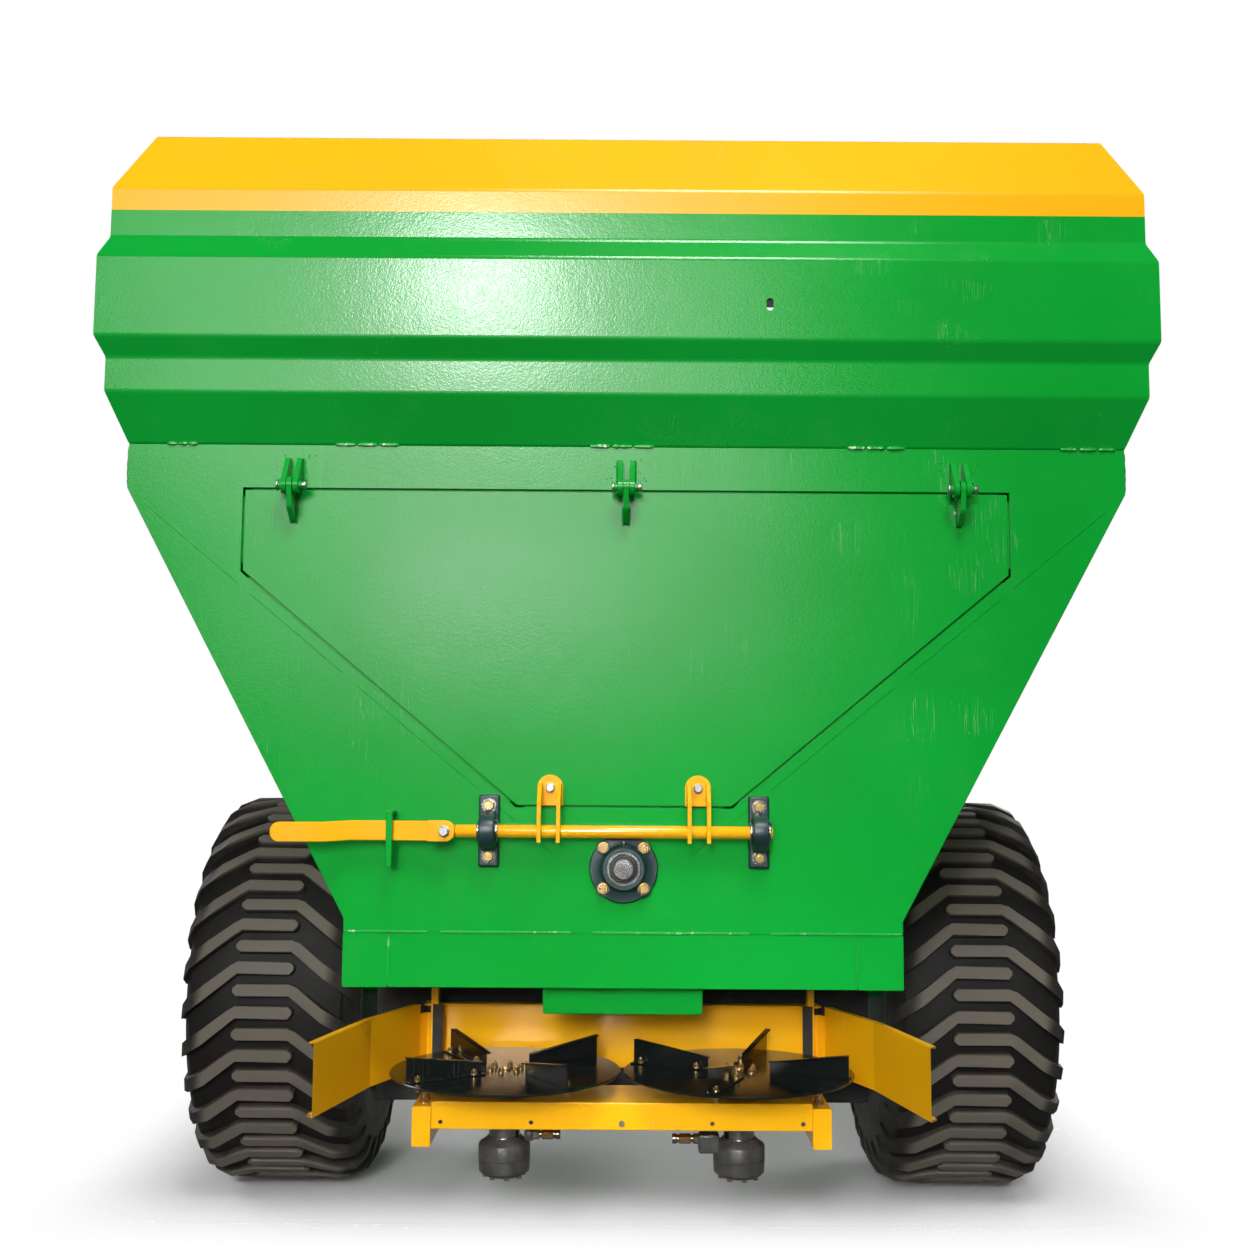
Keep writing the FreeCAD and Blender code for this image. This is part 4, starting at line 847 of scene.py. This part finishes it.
class SPREADER_OT_auger(bpy.types.Operator):
    """Makes the auger's flange bearings, shaft, flight, trough and hydraulic motor."""

    bl_idname = "spreader.auger"
    bl_label = "Floor auger"

    def flange(self, wall, out, cast, bright, oxide, gold):
        """A round four-bolt housing on a wall: casting, insert rings, shaft collar, bolts and nipple."""
        axis = AHEAD * out
        centre = Vector((0, wall, AUGER_HEIGHT))
        lathe(cast, [(0.0, 0.024), (0.0, 0.079), (0.010, 0.079), (0.0135, 0.0765), (0.014, 0.060),
                     (0.018, 0.0535), (0.034, 0.0500), (0.038, 0.0465), (0.038, 0.040), (0.034, 0.0385),
                     (0.034, 0.024), (0.0, 0.024)], centre, axis, 56)
        lathe(bright, [(0.030, 0.0330), (0.0352, 0.0385), (0.0352, 0.0330), (0.034, 0.0315), (0.030, 0.0315),
                       (0.030, 0.0330)], centre, axis)
        lathe(oxide, [(0.028, 0.0315), (0.0335, 0.0315), (0.0335, 0.0275), (0.028, 0.0275)], centre, axis)
        lathe(oxide, [(0.028, 0.0275), (0.0425, 0.0275), (0.0440, 0.0262), (0.0440, 0.0228), (0.028, 0.0228)],
              centre, axis)
        for spoke in spokes(4, 45, RIGHT, UP):
            seat = centre + axis * 0.014 + spoke * 0.0655
            peg(cast, seat, axis, -0.006, 0.002, 0.0175, sides=24, soft=0.001, steps=1)
            hex_bolt(gold, seat + axis * 0.002, axis, 0.022, True, 0.003)
        drum(bright, centre + axis * 0.026 + UP * 0.047, centre + axis * 0.03 + UP * 0.062, 0.0055, 0.0035,
             sides=12, soft=0.001)

    def motor(self):
        """The hydraulic motor ahead of the front wall, with its ports and end bolts."""
        front = span("auger_motor")[1].y
        back = Vector((0, front - 0.190, AUGER_HEIGHT))
        body, ports, bolts = shapes(3)
        lathe(body, [(0.0, 0.0), (0.0, 0.076), (0.004, 0.080), (0.030, 0.080), (0.032, 0.078), (0.034, 0.080),
                     (0.100, 0.080), (0.104, 0.072), (0.150, 0.072), (0.154, 0.068), (0.186, 0.068),
                     (0.190, 0.060), (0.190, 0.0)], back, AHEAD, 56)
        lathe(body, [(-0.052, 0.0), (-0.052, 0.0185), (-0.05, 0.020), (0.002, 0.020)], back, AHEAD, 32)
        block(body, back + Vector((-0.034, 0.112, 0.058)), back + Vector((0.034, 0.176, 0.086)), 0.004)
        piece("auger_motor_body", body, "grey_casting", "trailer", "cast_housing", "auger_motor")
        for along in (0.128, 0.160):
            seat = back + Vector((0, along, 0.086))
            peg(ports, seat, UP, 0, 0.010, 0.0125, sides=6)
            peg(ports, seat, UP, 0.009, 0.024, 0.009, sides=24, soft=0.001)
            peg(ports, seat, UP, 0.023, 0.034, 0.0125, sides=6, soft=0.001)
        for spoke in spokes(7, 11.459156, RIGHT, UP):
            hex_bolt(bolts, back + AHEAD * 0.1815 + spoke * 0.052, AHEAD, 0.013, False)
        piece("auger_motor_ports", ports, "brass")
        piece("auger_motor_bolts", bolts, "zinc_plate")

    def execute(self, context):
        edge = context.scene.spreader_sheet.edge
        cast, bright, oxide, gold = shapes(4)
        self.flange(span("rear_wall")[0].y, -1, cast, bright, oxide, gold)
        self.flange(span("front_wall")[1].y, 1, cast, bright, oxide, gold)
        piece("auger_bearing_castings", cast, "blue_black_casting", "trailer", "cast_housing",
              "auger_bearings")
        piece("auger_bearing_rings", bright, "bright_steel")
        piece("auger_bearing_seals", oxide, "black_oxide", "trailer", "cast_housing")
        piece("auger_bearing_bolts", gold, "gold_plate")

        softened("auger_shaft", "bright_steel")
        softened("auger_flight", "scoured_steel", 0.0)
        softened("auger_trough", "green_enamel", edge * 0.7)
        softened("auger_drive_bracket", "green_enamel")
        self.motor()
        return {"FINISHED"}


class SPREADER_OT_chassis(bpy.types.Operator):
    """Rounds the rails, crossmembers, axle, drawbar and chute and bolts them up."""

    bl_idname = "spreader.chassis"
    bl_label = "Chassis"

    def execute(self, context):
        sizes = context.scene.spreader_sheet
        for node in ("left_rail", "right_rail", "crossmembers", "axle_beam", "left_drawbar_beam",
                     "right_drawbar_beam"):
            softened(node, "green_enamel", long_edge=sizes.tube)
        for node in ("rear_crossmember", "discharge_chute", "axle_brackets", "jack_crossmember"):
            softened(node, "green_enamel", sizes.edge * 1.6)
        softened("hitch_plate", "green_enamel", sizes.forged)
        softened("hitch_eye", "zinc_plate", sizes.forged)

        bolts = bmesh.new()
        eye, axle = span("hitch_eye")[2], span("axle_beam")[2]
        back, face, _ = span("hitch_plate")
        for x in (-0.052, 0.052):
            for z in (-0.052, 0.052):
                hex_bolt(bolts, (x, face.y + 0.025, eye.z + z), AHEAD, 0.027)
                hex_bolt(bolts, (x, back.y, eye.z + z), -AHEAD, 0.027, True, 0.012)
        for sign in BOTH:
            for x in (0.567, 0.614):
                for y in (-0.066, 0.066):
                    hex_bolt(bolts, (sign * x, axle.y + y, axle.z + 0.062), UP, 0.022, True, 0.01)
        piece("chassis_bolts", bolts, "zinc_plate")
        return {"FINISHED"}


class SPREADER_OT_spreading_unit(bpy.types.Operator):
    """Rounds the spreading unit's frame, hood and skirt and hangs it on bolts."""

    bl_idname = "spreader.spreading_unit"
    bl_label = "Spreading unit"

    def apron(self):
        """A dark rubber apron between the rails ahead of the hood, clamped under an angle; its black stands
        in for the shade under the machine there.
        """
        low, high, _ = span("right_rail")
        wide, skin, top = high.x - 0.002, -1.700, low.z
        rubber, clamps = shapes(2)
        # painted shade: the black rubber fills the gap under the machine where the white surroundings would
        # show
        block(rubber, (0.010 - wide, skin - 0.006, 0.600), (wide - 0.010, skin, top - 0.0005), 0.0015)
        block(clamps, (-wide, skin, top - 0.036), (wide, skin + 0.006, top), 0.001)
        block(clamps, (-wide, skin + 0.005, top - 0.006), (wide, skin + 0.036, top), 0.001)
        for place in range(-4, 5):
            hex_bolt(clamps, (place * 0.14, skin - 0.006, top - 0.020), -AHEAD, 0.013)
        piece("rubber_apron", rubber, "belt_rubber", "trailer", "skirt_rubber")
        piece("apron_angle", clamps, "black_enamel")

    def execute(self, context):
        sizes = context.scene.spreader_sheet
        softened("spreader_frame", "yellow_enamel", sizes.edge * 1.4, long_edge=sizes.tube * 0.9)
        softened("spreader_hangers", "yellow_enamel", sizes.edge * 2)
        softened("spreader_hood", "yellow_enamel", fold=0.003)
        softened("rubber_skirt", "belt_rubber", sizes.edge * 1.6)
        self.apron()

        back, skirt = span("spreader_frame")[0].y, span("rubber_skirt")[0].y
        hanger_low, hanger_high, _ = span("spreader_hangers")
        grey, gold, strips, nuts = shapes(4)
        for sign in BOTH:
            for reach in FRAME_HOLES:
                lathe(nuts, [(0.004, 0.0052), (0.004, 0.0085), (0.017, 0.0085), (0.017, 0.0), (0.016, 0.0),
                             (0.016, 0.0052), (0.004, 0.0052)],
                      (sign * reach, back + 0.010, FRAME_HOLE_HEIGHT), AHEAD, 20)
            inner, outer = sorted(sign * (hanger_high.x - reach) for reach in (0.0295, 0.0045))
            face = hanger_low.y
            block(strips, (inner, face - 0.0016, 0.5335), (outer, face + 0.001, 0.684), 0.0006, 1)
            for along in (0.040, 0.075):
                hex_bolt(gold, (sign * 0.446, back + along, 0.5185), UP, 0.017, True, 0.008)
            hex_bolt(gold, (sign * 0.400, skirt + 0.006, 0.505), AHEAD, 0.013)
        hex_bolt(grey, (0, back + 0.010, FRAME_HOLE_HEIGHT), -AHEAD, 0.012, False)
        piece("hanger_wear_strips", strips, "belt_rubber", "trailer", "skirt_rubber")
        piece("frame_rivet_nuts", nuts, "black_oxide")
        piece("frame_middle_bolt", grey, "zinc_plate")
        piece("frame_bolts", gold, "gold_plate")
        return {"FINISHED"}


class SPREADER_OT_discs(bpy.types.Operator):
    """Makes the two spreading discs with their vanes, vane lips and bolts."""

    bl_idname = "spreader.discs"
    bl_label = "Spreading discs"

    def vane(self, look, lips, bolts, place, underside):
        """The rolled lip along a vane's sloping top, and the two bolts that hold the vane."""
        rise = math.atan2(look.tall - look.low, look.outer - look.inner)
        tilt = (Matrix.Translation((look.inner, 0, look.low)) @ Matrix.Rotation(-rise, 4, "Y")
                @ Matrix.Translation((-look.inner, 0, 0)))
        before = set(lips.verts)
        low, high = (look.inner, look.aside - 0.011, -0.0035), (look.outer, look.aside + 0.003, 0.0)
        block(lips, low, high, 0.0012, 1)
        fresh = [vert for vert in lips.verts if vert not in before]
        bmesh.ops.transform(lips, matrix=place @ tilt, verts=fresh)
        for reach in (look.inner + 0.025, look.outer - 0.022):
            seat = place @ Vector((reach, look.aside + 0.015, 0.004))
            hex_bolt(bolts, seat, UP, 0.012, True, 0.003)
            hex_bolt(bolts, (seat.x, seat.y, underside), -UP, 0.012, True, 0.006)

    def execute(self, context):
        edge, look = context.scene.spreader_sheet.edge, context.scene.spreader_discs
        for side, sign in SIDES:
            body = BODY_OF[side + "_disc"]
            _, high, middle = span(side + "_disc")
            hub = Vector((middle.x, middle.y, high.z))
            softened(side + "_disc", "black_enamel", 0.0016)
            softened(side + "_vanes", "black_enamel", edge * 0.8)
            lips, bolts = shapes(2)
            first = look.left_turn if sign < 0 else look.right_turn
            for quarter in range(4):
                turn = Matrix.Rotation(first + quarter * math.pi / 2, 4, "Z")
                self.vane(look, lips, bolts, Matrix.Translation(hub) @ turn, high.z - 0.005)
            for spoke in spokes(6, 18, RIGHT, AHEAD):
                hex_bolt(bolts, hub + spoke * 0.036, UP, 0.012, True, 0.004)
            peg(bolts, hub, UP, -0.001, 0.006, 0.011, sides=24, soft=0.001)
            piece(side + "_vane_lips", lips, "black_enamel", body, "black_paint")
            piece(side + "_disc_bolts", bolts, "gold_plate", body)
        return {"FINISHED"}


class SPREADER_OT_disc_motors(bpy.types.Operator):
    """Makes the two hydraulic motors under the discs, with their ports and fittings."""

    bl_idname = "spreader.disc_motors"
    bl_label = "Disc motors"

    def fittings(self, body, neck, brass, foot, inward, port, deep, wide, rise):
        """The port pad that reaches inward from the motor and the hose fitting on it."""
        pad = RIGHT * inward * deep * 1.4
        port = foot + Vector((inward * 0.046, -0.010, port))
        left, right = sorted((port.x, port.x + pad.x))
        block(body, (left, port.y - wide, port.z - wide), (right, port.y + wide, port.z + wide), 0.005)
        start = port + pad + UP * rise
        for metal, near, far, radius, sides in (
                (neck, -0.002, 0.012, 0.0120, 6), (brass, 0.011, 0.019, 0.0085, 20),
                (brass, 0.018, 0.044, 0.0118, 6), (brass, 0.043, 0.050, 0.0090, 20),
                (neck, 0.049, 0.060, 0.0112, 20)):
            peg(metal, start, RIGHT * inward, near, far, radius, sides=sides, soft=0.0008)

    def execute(self, context):
        body, neck, brass, bolts = shapes(4)
        floor = span("disc_motors")[0].z
        for side, sign in SIDES:
            disc = span(side + "_disc")[2]
            foot = Vector((disc.x, disc.y, floor))
            lathe(body, [(0.0, 0.0), (0.0, 0.0460), (0.003, 0.0510), (0.009, 0.0575), (0.036, 0.0590),
                         (0.0372, 0.0570), (0.0388, 0.0570), (0.040, 0.0590), (0.066, 0.0590),
                         (0.071, 0.0570), (0.080, 0.0430), (0.084, 0.0400), (0.084, 0.0)], foot, UP, 64)
            for low, high, start, end in ((0.080, 0.146, 0.0355, 0.0355), (0.163, 0.175, 0.0535, 0.0540),
                                          (0.146, 0.163, 0.0420, 0.0420)):
                lathe(neck, [(low, 0.0), (low, start), (high, end), (high, 0.0)], foot, UP)
            peg(neck, foot, UP, 0.170, 0.222, 0.0124)
            pad = (0.088, 0.016, 0.012, 0.002) if sign < 0 else (0.074, 0.034, 0.021, 0.008)
            self.fittings(body, neck, brass, foot, -sign, *pad)
            for spoke in spokes(8, 12, RIGHT, AHEAD):
                hex_bolt(bolts, foot + spoke * 0.043 + UP * 0.002, -UP, 0.0125, False)
        piece("disc_motor_bodies", body, "grey_casting", "trailer", "cast_housing", "disc_motors")
        piece("disc_motor_necks", neck, "bright_steel", "trailer", "cast_housing")
        piece("disc_motor_fittings", brass, "brass")
        piece("disc_motor_bolts", bolts, "gold_plate")
        return {"FINISHED"}


class SPREADER_OT_wings(bpy.types.Operator):
    """Rolls the deflector wings' fold and lips and bolts their hinge rods."""

    bl_idname = "spreader.wings"
    bl_label = "Deflector wings"

    def execute(self, context):
        for side, sign in SIDES:
            tip = span(side + "_wing")[0].y
            across = Vector((sign * 0.976, 0.219, 0))
            along = Vector((-sign * 0.219, 0.976, 0))

            def mitred(bm):
                ends = [vert for vert in bm.verts if vert.co.y < tip + 0.01]
                skin = min(vert.co.dot(across) for vert in ends)
                for vert in ends:
                    if vert.co.dot(across) > skin + 0.0045:
                        vert.co += along * 0.016

            softened(side + "_wing", "yellow_enamel", fold=0.003, reshape=mitred)
        softened("wing_hinge_rods", "black_enamel")
        low, high, _ = span("wing_hinge_rods")
        gold = bmesh.new()
        for sign in BOTH:
            place = Vector((sign * 0.487, low.y + 0.014, 0))
            hex_bolt(gold, place + UP * (high.z - 0.0005), UP, 0.016)
            hex_bolt(gold, place + UP * (low.z + 0.0005), -UP, 0.016)
        piece("hinge_rod_bolts", gold, "gold_plate")
        return {"FINISHED"}


class SPREADER_OT_wheels(bpy.types.Operator):
    """Makes the lugged tyres, the wheel discs and their nuts."""

    bl_idname = "spreader.wheels"
    bl_label = "Wheels and tyres"

    # stations of a lug across the tread: foot, foot radius, top, top radius, lag round the tyre, half width
    STATIONS = ((-0.086, 0.555, -0.084, 0.583, 0.000, 0.008), (-0.074, 0.556, -0.072, 0.5834, 0.000, 0.019),
                (0.072, 0.556, 0.074, 0.5834, 0.000, 0.019), (0.092, 0.555, 0.094, 0.5834, -0.012, 0.022),
                (0.163, 0.550, 0.165, 0.583, -0.068, 0.023), (0.205, 0.535, 0.215, 0.563, -0.104, 0.024),
                (0.226, 0.505, 0.240, 0.523, -0.132, 0.024), (0.238, 0.462, 0.2485, 0.470, -0.150, 0.022))

    # half of the casing's section, as (across, radius): crown, side wall, bead and back inside
    SECTION = ((0.000, 0.560), (0.080, 0.560), (0.165, 0.556), (0.212, 0.540), (0.232, 0.508), (0.243, 0.460),
               (0.2455, 0.430), (0.2465, 0.424), (0.2465, 0.418), (0.245, 0.412), (0.2445, 0.395),
               (0.2425, 0.370), (0.2405, 0.352), (0.238, 0.348), (0.2365, 0.340), (0.234, 0.331),
               (0.222, 0.322), (0.206, 0.312), (0.1945, 0.304), (0.1947, 0.2863), (0.155, 0.2863),
               (0.158, 0.312), (0.222, 0.420), (0.200, 0.520), (0.125, 0.532), (0.000, 0.534))

    def lug(self, bm, hub, side, start):
        """One tread lug: a flat strip, raised, then laid round the tyre."""
        last = len(self.STATIONS) - 1
        strip = bmesh.ops.create_grid(bm, x_segments=last, y_segments=1, size=0.5)["verts"]
        ranked = {vert: round((vert.co.x + 0.5) * last) for vert in strip}
        rows = {vert: math.copysign(1, vert.co.y) for vert in strip}
        raised = bmesh.ops.extrude_face_region(bm, geom=list(faces_of(strip)))["geom"]
        tops = [item for item in raised if isinstance(item, bmesh.types.BMVert)]
        made = []
        for top in tops:
            twin = min(strip, key=lambda vert: (vert.co - top.co).length)
            for vert, column, ring, narrow in ((top, 2, 3, 0.0025), (twin, 0, 1, 0.0)):
                station = self.STATIONS[ranked[twin]]
                around = (station[4] + rows[twin] * (station[5] - narrow)) / hub.z + start
                made.append((vert, Vector((hub.x + side * station[column],
                                           hub.y - math.cos(around) * station[ring],
                                           hub.z + math.sin(around) * station[ring]))))
        for vert, place in made:
            vert.co = place
        crest = [edge for edge in {edge for face in faces_of(list(strip) + tops) for edge in face.edges}
                 if all(vert in tops for vert in edge.verts) and sharpness(edge) > math.radians(40)]
        round_off(bm, crest, 0.0015, 1)

    def tread(self, hub, lugs):
        """Both rows of lugs, the right one half a step later."""
        bm = bmesh.new()
        for side, start in ((-1, 0.0), (1, math.pi / lugs)):
            before = set(bm.verts)
            self.lug(bm, hub, side, start)
            fresh = [vert for vert in bm.verts if vert not in before]
            bmesh.ops.recalc_face_normals(bm, faces=list(faces_of(fresh)))
            geom = fresh + list(edges_of(fresh)) + list(faces_of(fresh))
            bmesh.ops.spin(bm, geom=geom, cent=hub, axis=RIGHT, angle=2 * math.pi / lugs * (lugs - 1),
                           steps=lugs - 1, use_duplicate=True)
        return bm

    def casing(self, hub):
        bm = bmesh.new()
        half = list(self.SECTION)
        outer = [(-x, r) for x, r in reversed(half[:21])] + half[1:]
        inner = [(-x, r) for x, r in reversed(half[20:-1])]
        lathe(bm, outer + inner, hub, RIGHT, 120)
        return bm

    def execute(self, context):
        look = context.scene.spreader_tyres
        for side, sign in SIDES:
            tyre = side + "_tyre"
            body, hub, out = BODY_OF[tyre], span(tyre)[2], RIGHT * sign
            piece(tyre + "_casing", self.casing(hub), "casing_rubber", body, "tyre_rubber", tyre)
            piece(tyre + "_tread", self.tread(hub, look.lugs), "lug_rubber", body, "tyre_rubber")
            softened(side + "_wheel", "silver_enamel")
            nuts = bmesh.new()
            for spoke in spokes(8, 0, AHEAD, UP):
                hex_bolt(nuts, hub + out * 0.070 + spoke * 0.078, out, 0.024, False, 0.012)
            lathe(nuts, [(0.110, 0.0), (0.110, 0.050), (0.113, 0.053), (0.118, 0.053), (0.122, 0.047),
                         (0.1235, 0.0)], hub, out, 40)
            for spoke in spokes(10, 0, AHEAD, UP):
                hex_bolt(nuts, hub + out * 0.022 + spoke * 0.1375, out, 0.030, True, 0.014)
            valve = hub + out * 0.024 + AHEAD * 0.225
            drum(nuts, valve, valve + out * 0.035 + AHEAD * 0.008, 0.006, 0.0045, sides=14, soft=0.001)
            piece(side + "_wheel_nuts", nuts, "zinc_plate", body)
        return {"FINISHED"}


class SPREADER_OT_jack(bpy.types.Operator):
    """Makes the parking jack: tube, leg, foot, gear head, crank and grip."""

    bl_idname = "spreader.jack"
    bl_label = "Parking jack"

    def execute(self, context):
        along = span("jack_crossmember")[2].y
        centre = Vector((0, along, 0))
        crank = centre + UP * JACK_CRANK_HEIGHT
        arm = crank + RIGHT * 0.160
        tube, leg, grip = shapes(3)
        lathe(tube, [(0.330, 0.0305), (0.330, 0.0365), (0.332, 0.038), (0.838, 0.038), (0.841, 0.0480),
                     (0.850, 0.0480), (0.853, 0.0400), (1.050, 0.038), (1.054, 0.0415), (1.074, 0.0415),
                     (1.080, 0.0360), (1.080, 0.0)], centre, UP)
        block(tube, (-0.047, along - 0.028, 1.010), (0.052, along + 0.028, 1.066), 0.006, 3)
        lathe(leg, [(0.012, 0.0), (0.012, 0.0385), (0.016, 0.0385), (0.024, 0.0320), (0.030, 0.0300),
                    (0.335, 0.0300)], centre, UP, 40)
        block(leg, (-0.110, along - 0.110, 0.0), (0.110, along + 0.110, 0.008), 0.002)
        for side in (-0.107, 0.107):
            block(leg, (side - 0.003, along - 0.11, 0.002), (side + 0.003, along + 0.11, 0.020), 0.0015, 1)
        for turn, out in enumerate(spokes(4, 45, RIGHT, AHEAD)):
            bead(leg, centre + out * 0.034 + UP * 0.010, centre + out * 0.075 + UP * 0.009, 0.003, turn)
        peg(leg, crank, RIGHT, 0.045, 0.160, 0.009, sides=24, soft=0.0015)
        peg(leg, arm, -AHEAD, -0.008, 0.120, 0.0075, sides=24, soft=0.0015)
        peg(leg, crank, RIGHT, 0.045, 0.058, 0.017, sides=28, soft=0.0015)
        peg(grip, arm, -AHEAD, 0.028, 0.118, 0.0135, sides=28, soft=0.004, steps=3)
        for ring in range(6):
            start = 0.038 + ring * 0.012
            peg(grip, arm, -AHEAD, start, start + 0.005, 0.0148, sides=28, soft=0.0012, steps=1)
        piece("jack_tube", tube, "zinc_plate", "trailer", "zinc_steel", "parking_jack")
        piece("jack_leg_and_crank", leg, "bright_steel")
        piece("jack_grip", grip, "belt_rubber", "trailer", "skirt_rubber")
        return {"FINISHED"}


class SPREADER_OT_stage(bpy.types.Operator):
    """Sets the camera, the lamps, the white surroundings and the floor."""

    bl_idname = "spreader.stage"
    bl_label = "Stage"

    def lamp(self, name, place, aim, size, power, spread=180):
        """A rectangular area lamp aimed at a point; size is its width and height."""
        light = bpy.data.lights.new(name, "AREA")
        light.shape = "RECTANGLE"
        light.size, light.size_y = size
        light.energy = power
        light.spread = math.radians(spread)
        obj = bpy.data.objects.new(name, light)
        obj.location = place
        obj.rotation_euler = (Vector(aim) - Vector(place)).to_track_quat("-Z", "Y").to_euler()
        bpy.context.scene.collection.objects.link(obj)

    def floor_paint(self):
        """Matt pale floor that thins out into the white surroundings away from the machine."""
        def colours(spot):
            pale = spot.noise(0.4).tint((0.84, 0.84, 0.84), (0.86, 0.86, 0.86))
            return spot.make("ShaderNodeLightPath", {}, {}, "Is Diffuse Ray").tint(pale, (0.2, 0.2, 0.2))

        def near(spot):
            across, ahead = (spot.part(axis) for axis in "XY")
            wide = 1 - across.math("ABSOLUTE").between(1.2, 1.75)
            return wide * ahead.between(-1.55, -0.9) * (1 - ahead.between(1.5, 3.4))

        return shader("studio_floor", colours, lambda spot: 0.85 + spot.noise(2.0) * 0.1,
                      lambda spot: spot.noise(40.0), 0.00001, specular=0.2, solid=near)

    def camera(self, scene, look):
        lens = bpy.data.cameras.new("camera")
        lens.lens = look.lens
        lens.sensor_width = 36.0
        eye = bpy.data.objects.new("camera", lens)
        eye.location = look.place
        turn = Matrix.Rotation(math.pi / 2 + look.pitch, 3, "X") @ Matrix.Rotation(look.roll, 3, "Z")
        eye.rotation_euler = turn.to_euler()
        scene.collection.objects.link(eye)
        scene.camera = eye

    def surroundings(self, scene, sky):
        """White where the camera sees past the machine, and dim for every other ray."""
        world = bpy.data.worlds.new("white_room")
        scene.world = world
        world.use_nodes = True
        tree = world.node_tree
        tree.nodes.clear()
        path = Wire(tree).make("ShaderNodeLightPath", {}, {}, "Is Camera Ray")
        clear = path.make("ShaderNodeLightPath", {}, {}, "Is Transmission Ray")
        seen = path.math("MAXIMUM", clear)
        glow = seen.make("ShaderNodeBackground", {}, {"Color": (1, 1, 1, 1),
                                                      "Strength": sky + seen * (1.0 - sky)})
        output = tree.nodes.new("ShaderNodeOutputWorld")
        tree.links.new(glow.socket, output.inputs["Surface"])

    def execute(self, context):
        scene = context.scene
        look = scene.spreader_stage
        scene.view_settings.view_transform = "Standard"
        self.camera(scene, look)
        self.lamp("far", (-2.3, -21.0, 9.0), (-0.3, -2.1, 1.5), (1.1, 1.1), look.far)
        self.lamp("low", (-0.8, -8.5, 2.3), (0.0, -1.9, 0.15), (1.6, 1.2), look.low, 24)
        self.lamp("box", (-1.4, -9.0, 4.4), (-0.4, -2.1, 2.3), (5.0, 2.2), look.box)
        self.lamp("panel", (-0.95, -9.0, 2.75), (-0.3, -2.1, 1.75), (4.4, 1.9), look.panel)
        self.lamp("high", (0.6, -6.2, 7.4), (0.0, -2.1, 1.8), (1.8, 1.8), look.high)
        self.lamp("left_side", (-8.0, 3.5, 5.5), (0.0, 0.3, 1.6), (4.0, 4.0), look.side)
        self.lamp("right_front", (6.0, 8.5, 5.5), (0.0, 0.3, 1.6), (4.0, 4.0), look.side * 1.6)
        self.surroundings(scene, look.sky)

        bm = bmesh.new()
        bmesh.ops.create_grid(bm, x_segments=1, y_segments=1, size=60.0)
        mesh = bpy.data.meshes.new("studio_floor")
        bm.to_mesh(mesh)
        bm.free()
        mesh.materials.append(self.floor_paint())
        floor = bpy.data.objects.new("studio_floor", mesh)
        scene.collection.objects.link(floor)
        return {"FINISHED"}


SETTINGS = {"spreader_paint": PaintSettings, "spreader_sheet": SheetSettings, "spreader_bolts": BoltSettings,
            "spreader_discs": DiscSettings, "spreader_tyres": TyreSettings, "spreader_stage": StageSettings}
STEPS = (SPREADER_OT_hopper, SPREADER_OT_welds, SPREADER_OT_hinges, SPREADER_OT_latch, SPREADER_OT_auger,
         SPREADER_OT_chassis, SPREADER_OT_spreading_unit, SPREADER_OT_discs, SPREADER_OT_disc_motors,
         SPREADER_OT_wings, SPREADER_OT_wheels, SPREADER_OT_jack, SPREADER_OT_stage)


class SPREADER_PT_panel(bpy.types.Panel):
    """Lists the spreader's sizes, colours and building steps."""

    bl_idname = "SPREADER_PT_panel"
    bl_label = "Fertilizer spreader"
    bl_space_type = "VIEW_3D"
    bl_region_type = "UI"
    bl_category = "Spreader"

    def draw(self, context):
        for name, group in SETTINGS.items():
            for key in group.__annotations__:
                self.layout.prop(getattr(context.scene, name), key)
        for step in STEPS:
            self.layout.operator(step.bl_idname)


def register():
    for item in (*SETTINGS.values(), *STEPS, SPREADER_PT_panel):
        bpy.utils.register_class(item)
    for name, group in SETTINGS.items():
        setattr(bpy.types.Scene, name, PointerProperty(type=group))


def unregister():
    for name in SETTINGS:
        delattr(bpy.types.Scene, name)
    for item in reversed((*SETTINGS.values(), *STEPS, SPREADER_PT_panel)):
        bpy.utils.unregister_class(item)


def main():
    register()
    for step in STEPS:
        group, name = step.bl_idname.split(".")
        getattr(getattr(bpy.ops, group), name)()


if __name__ == "__main__":
    main()
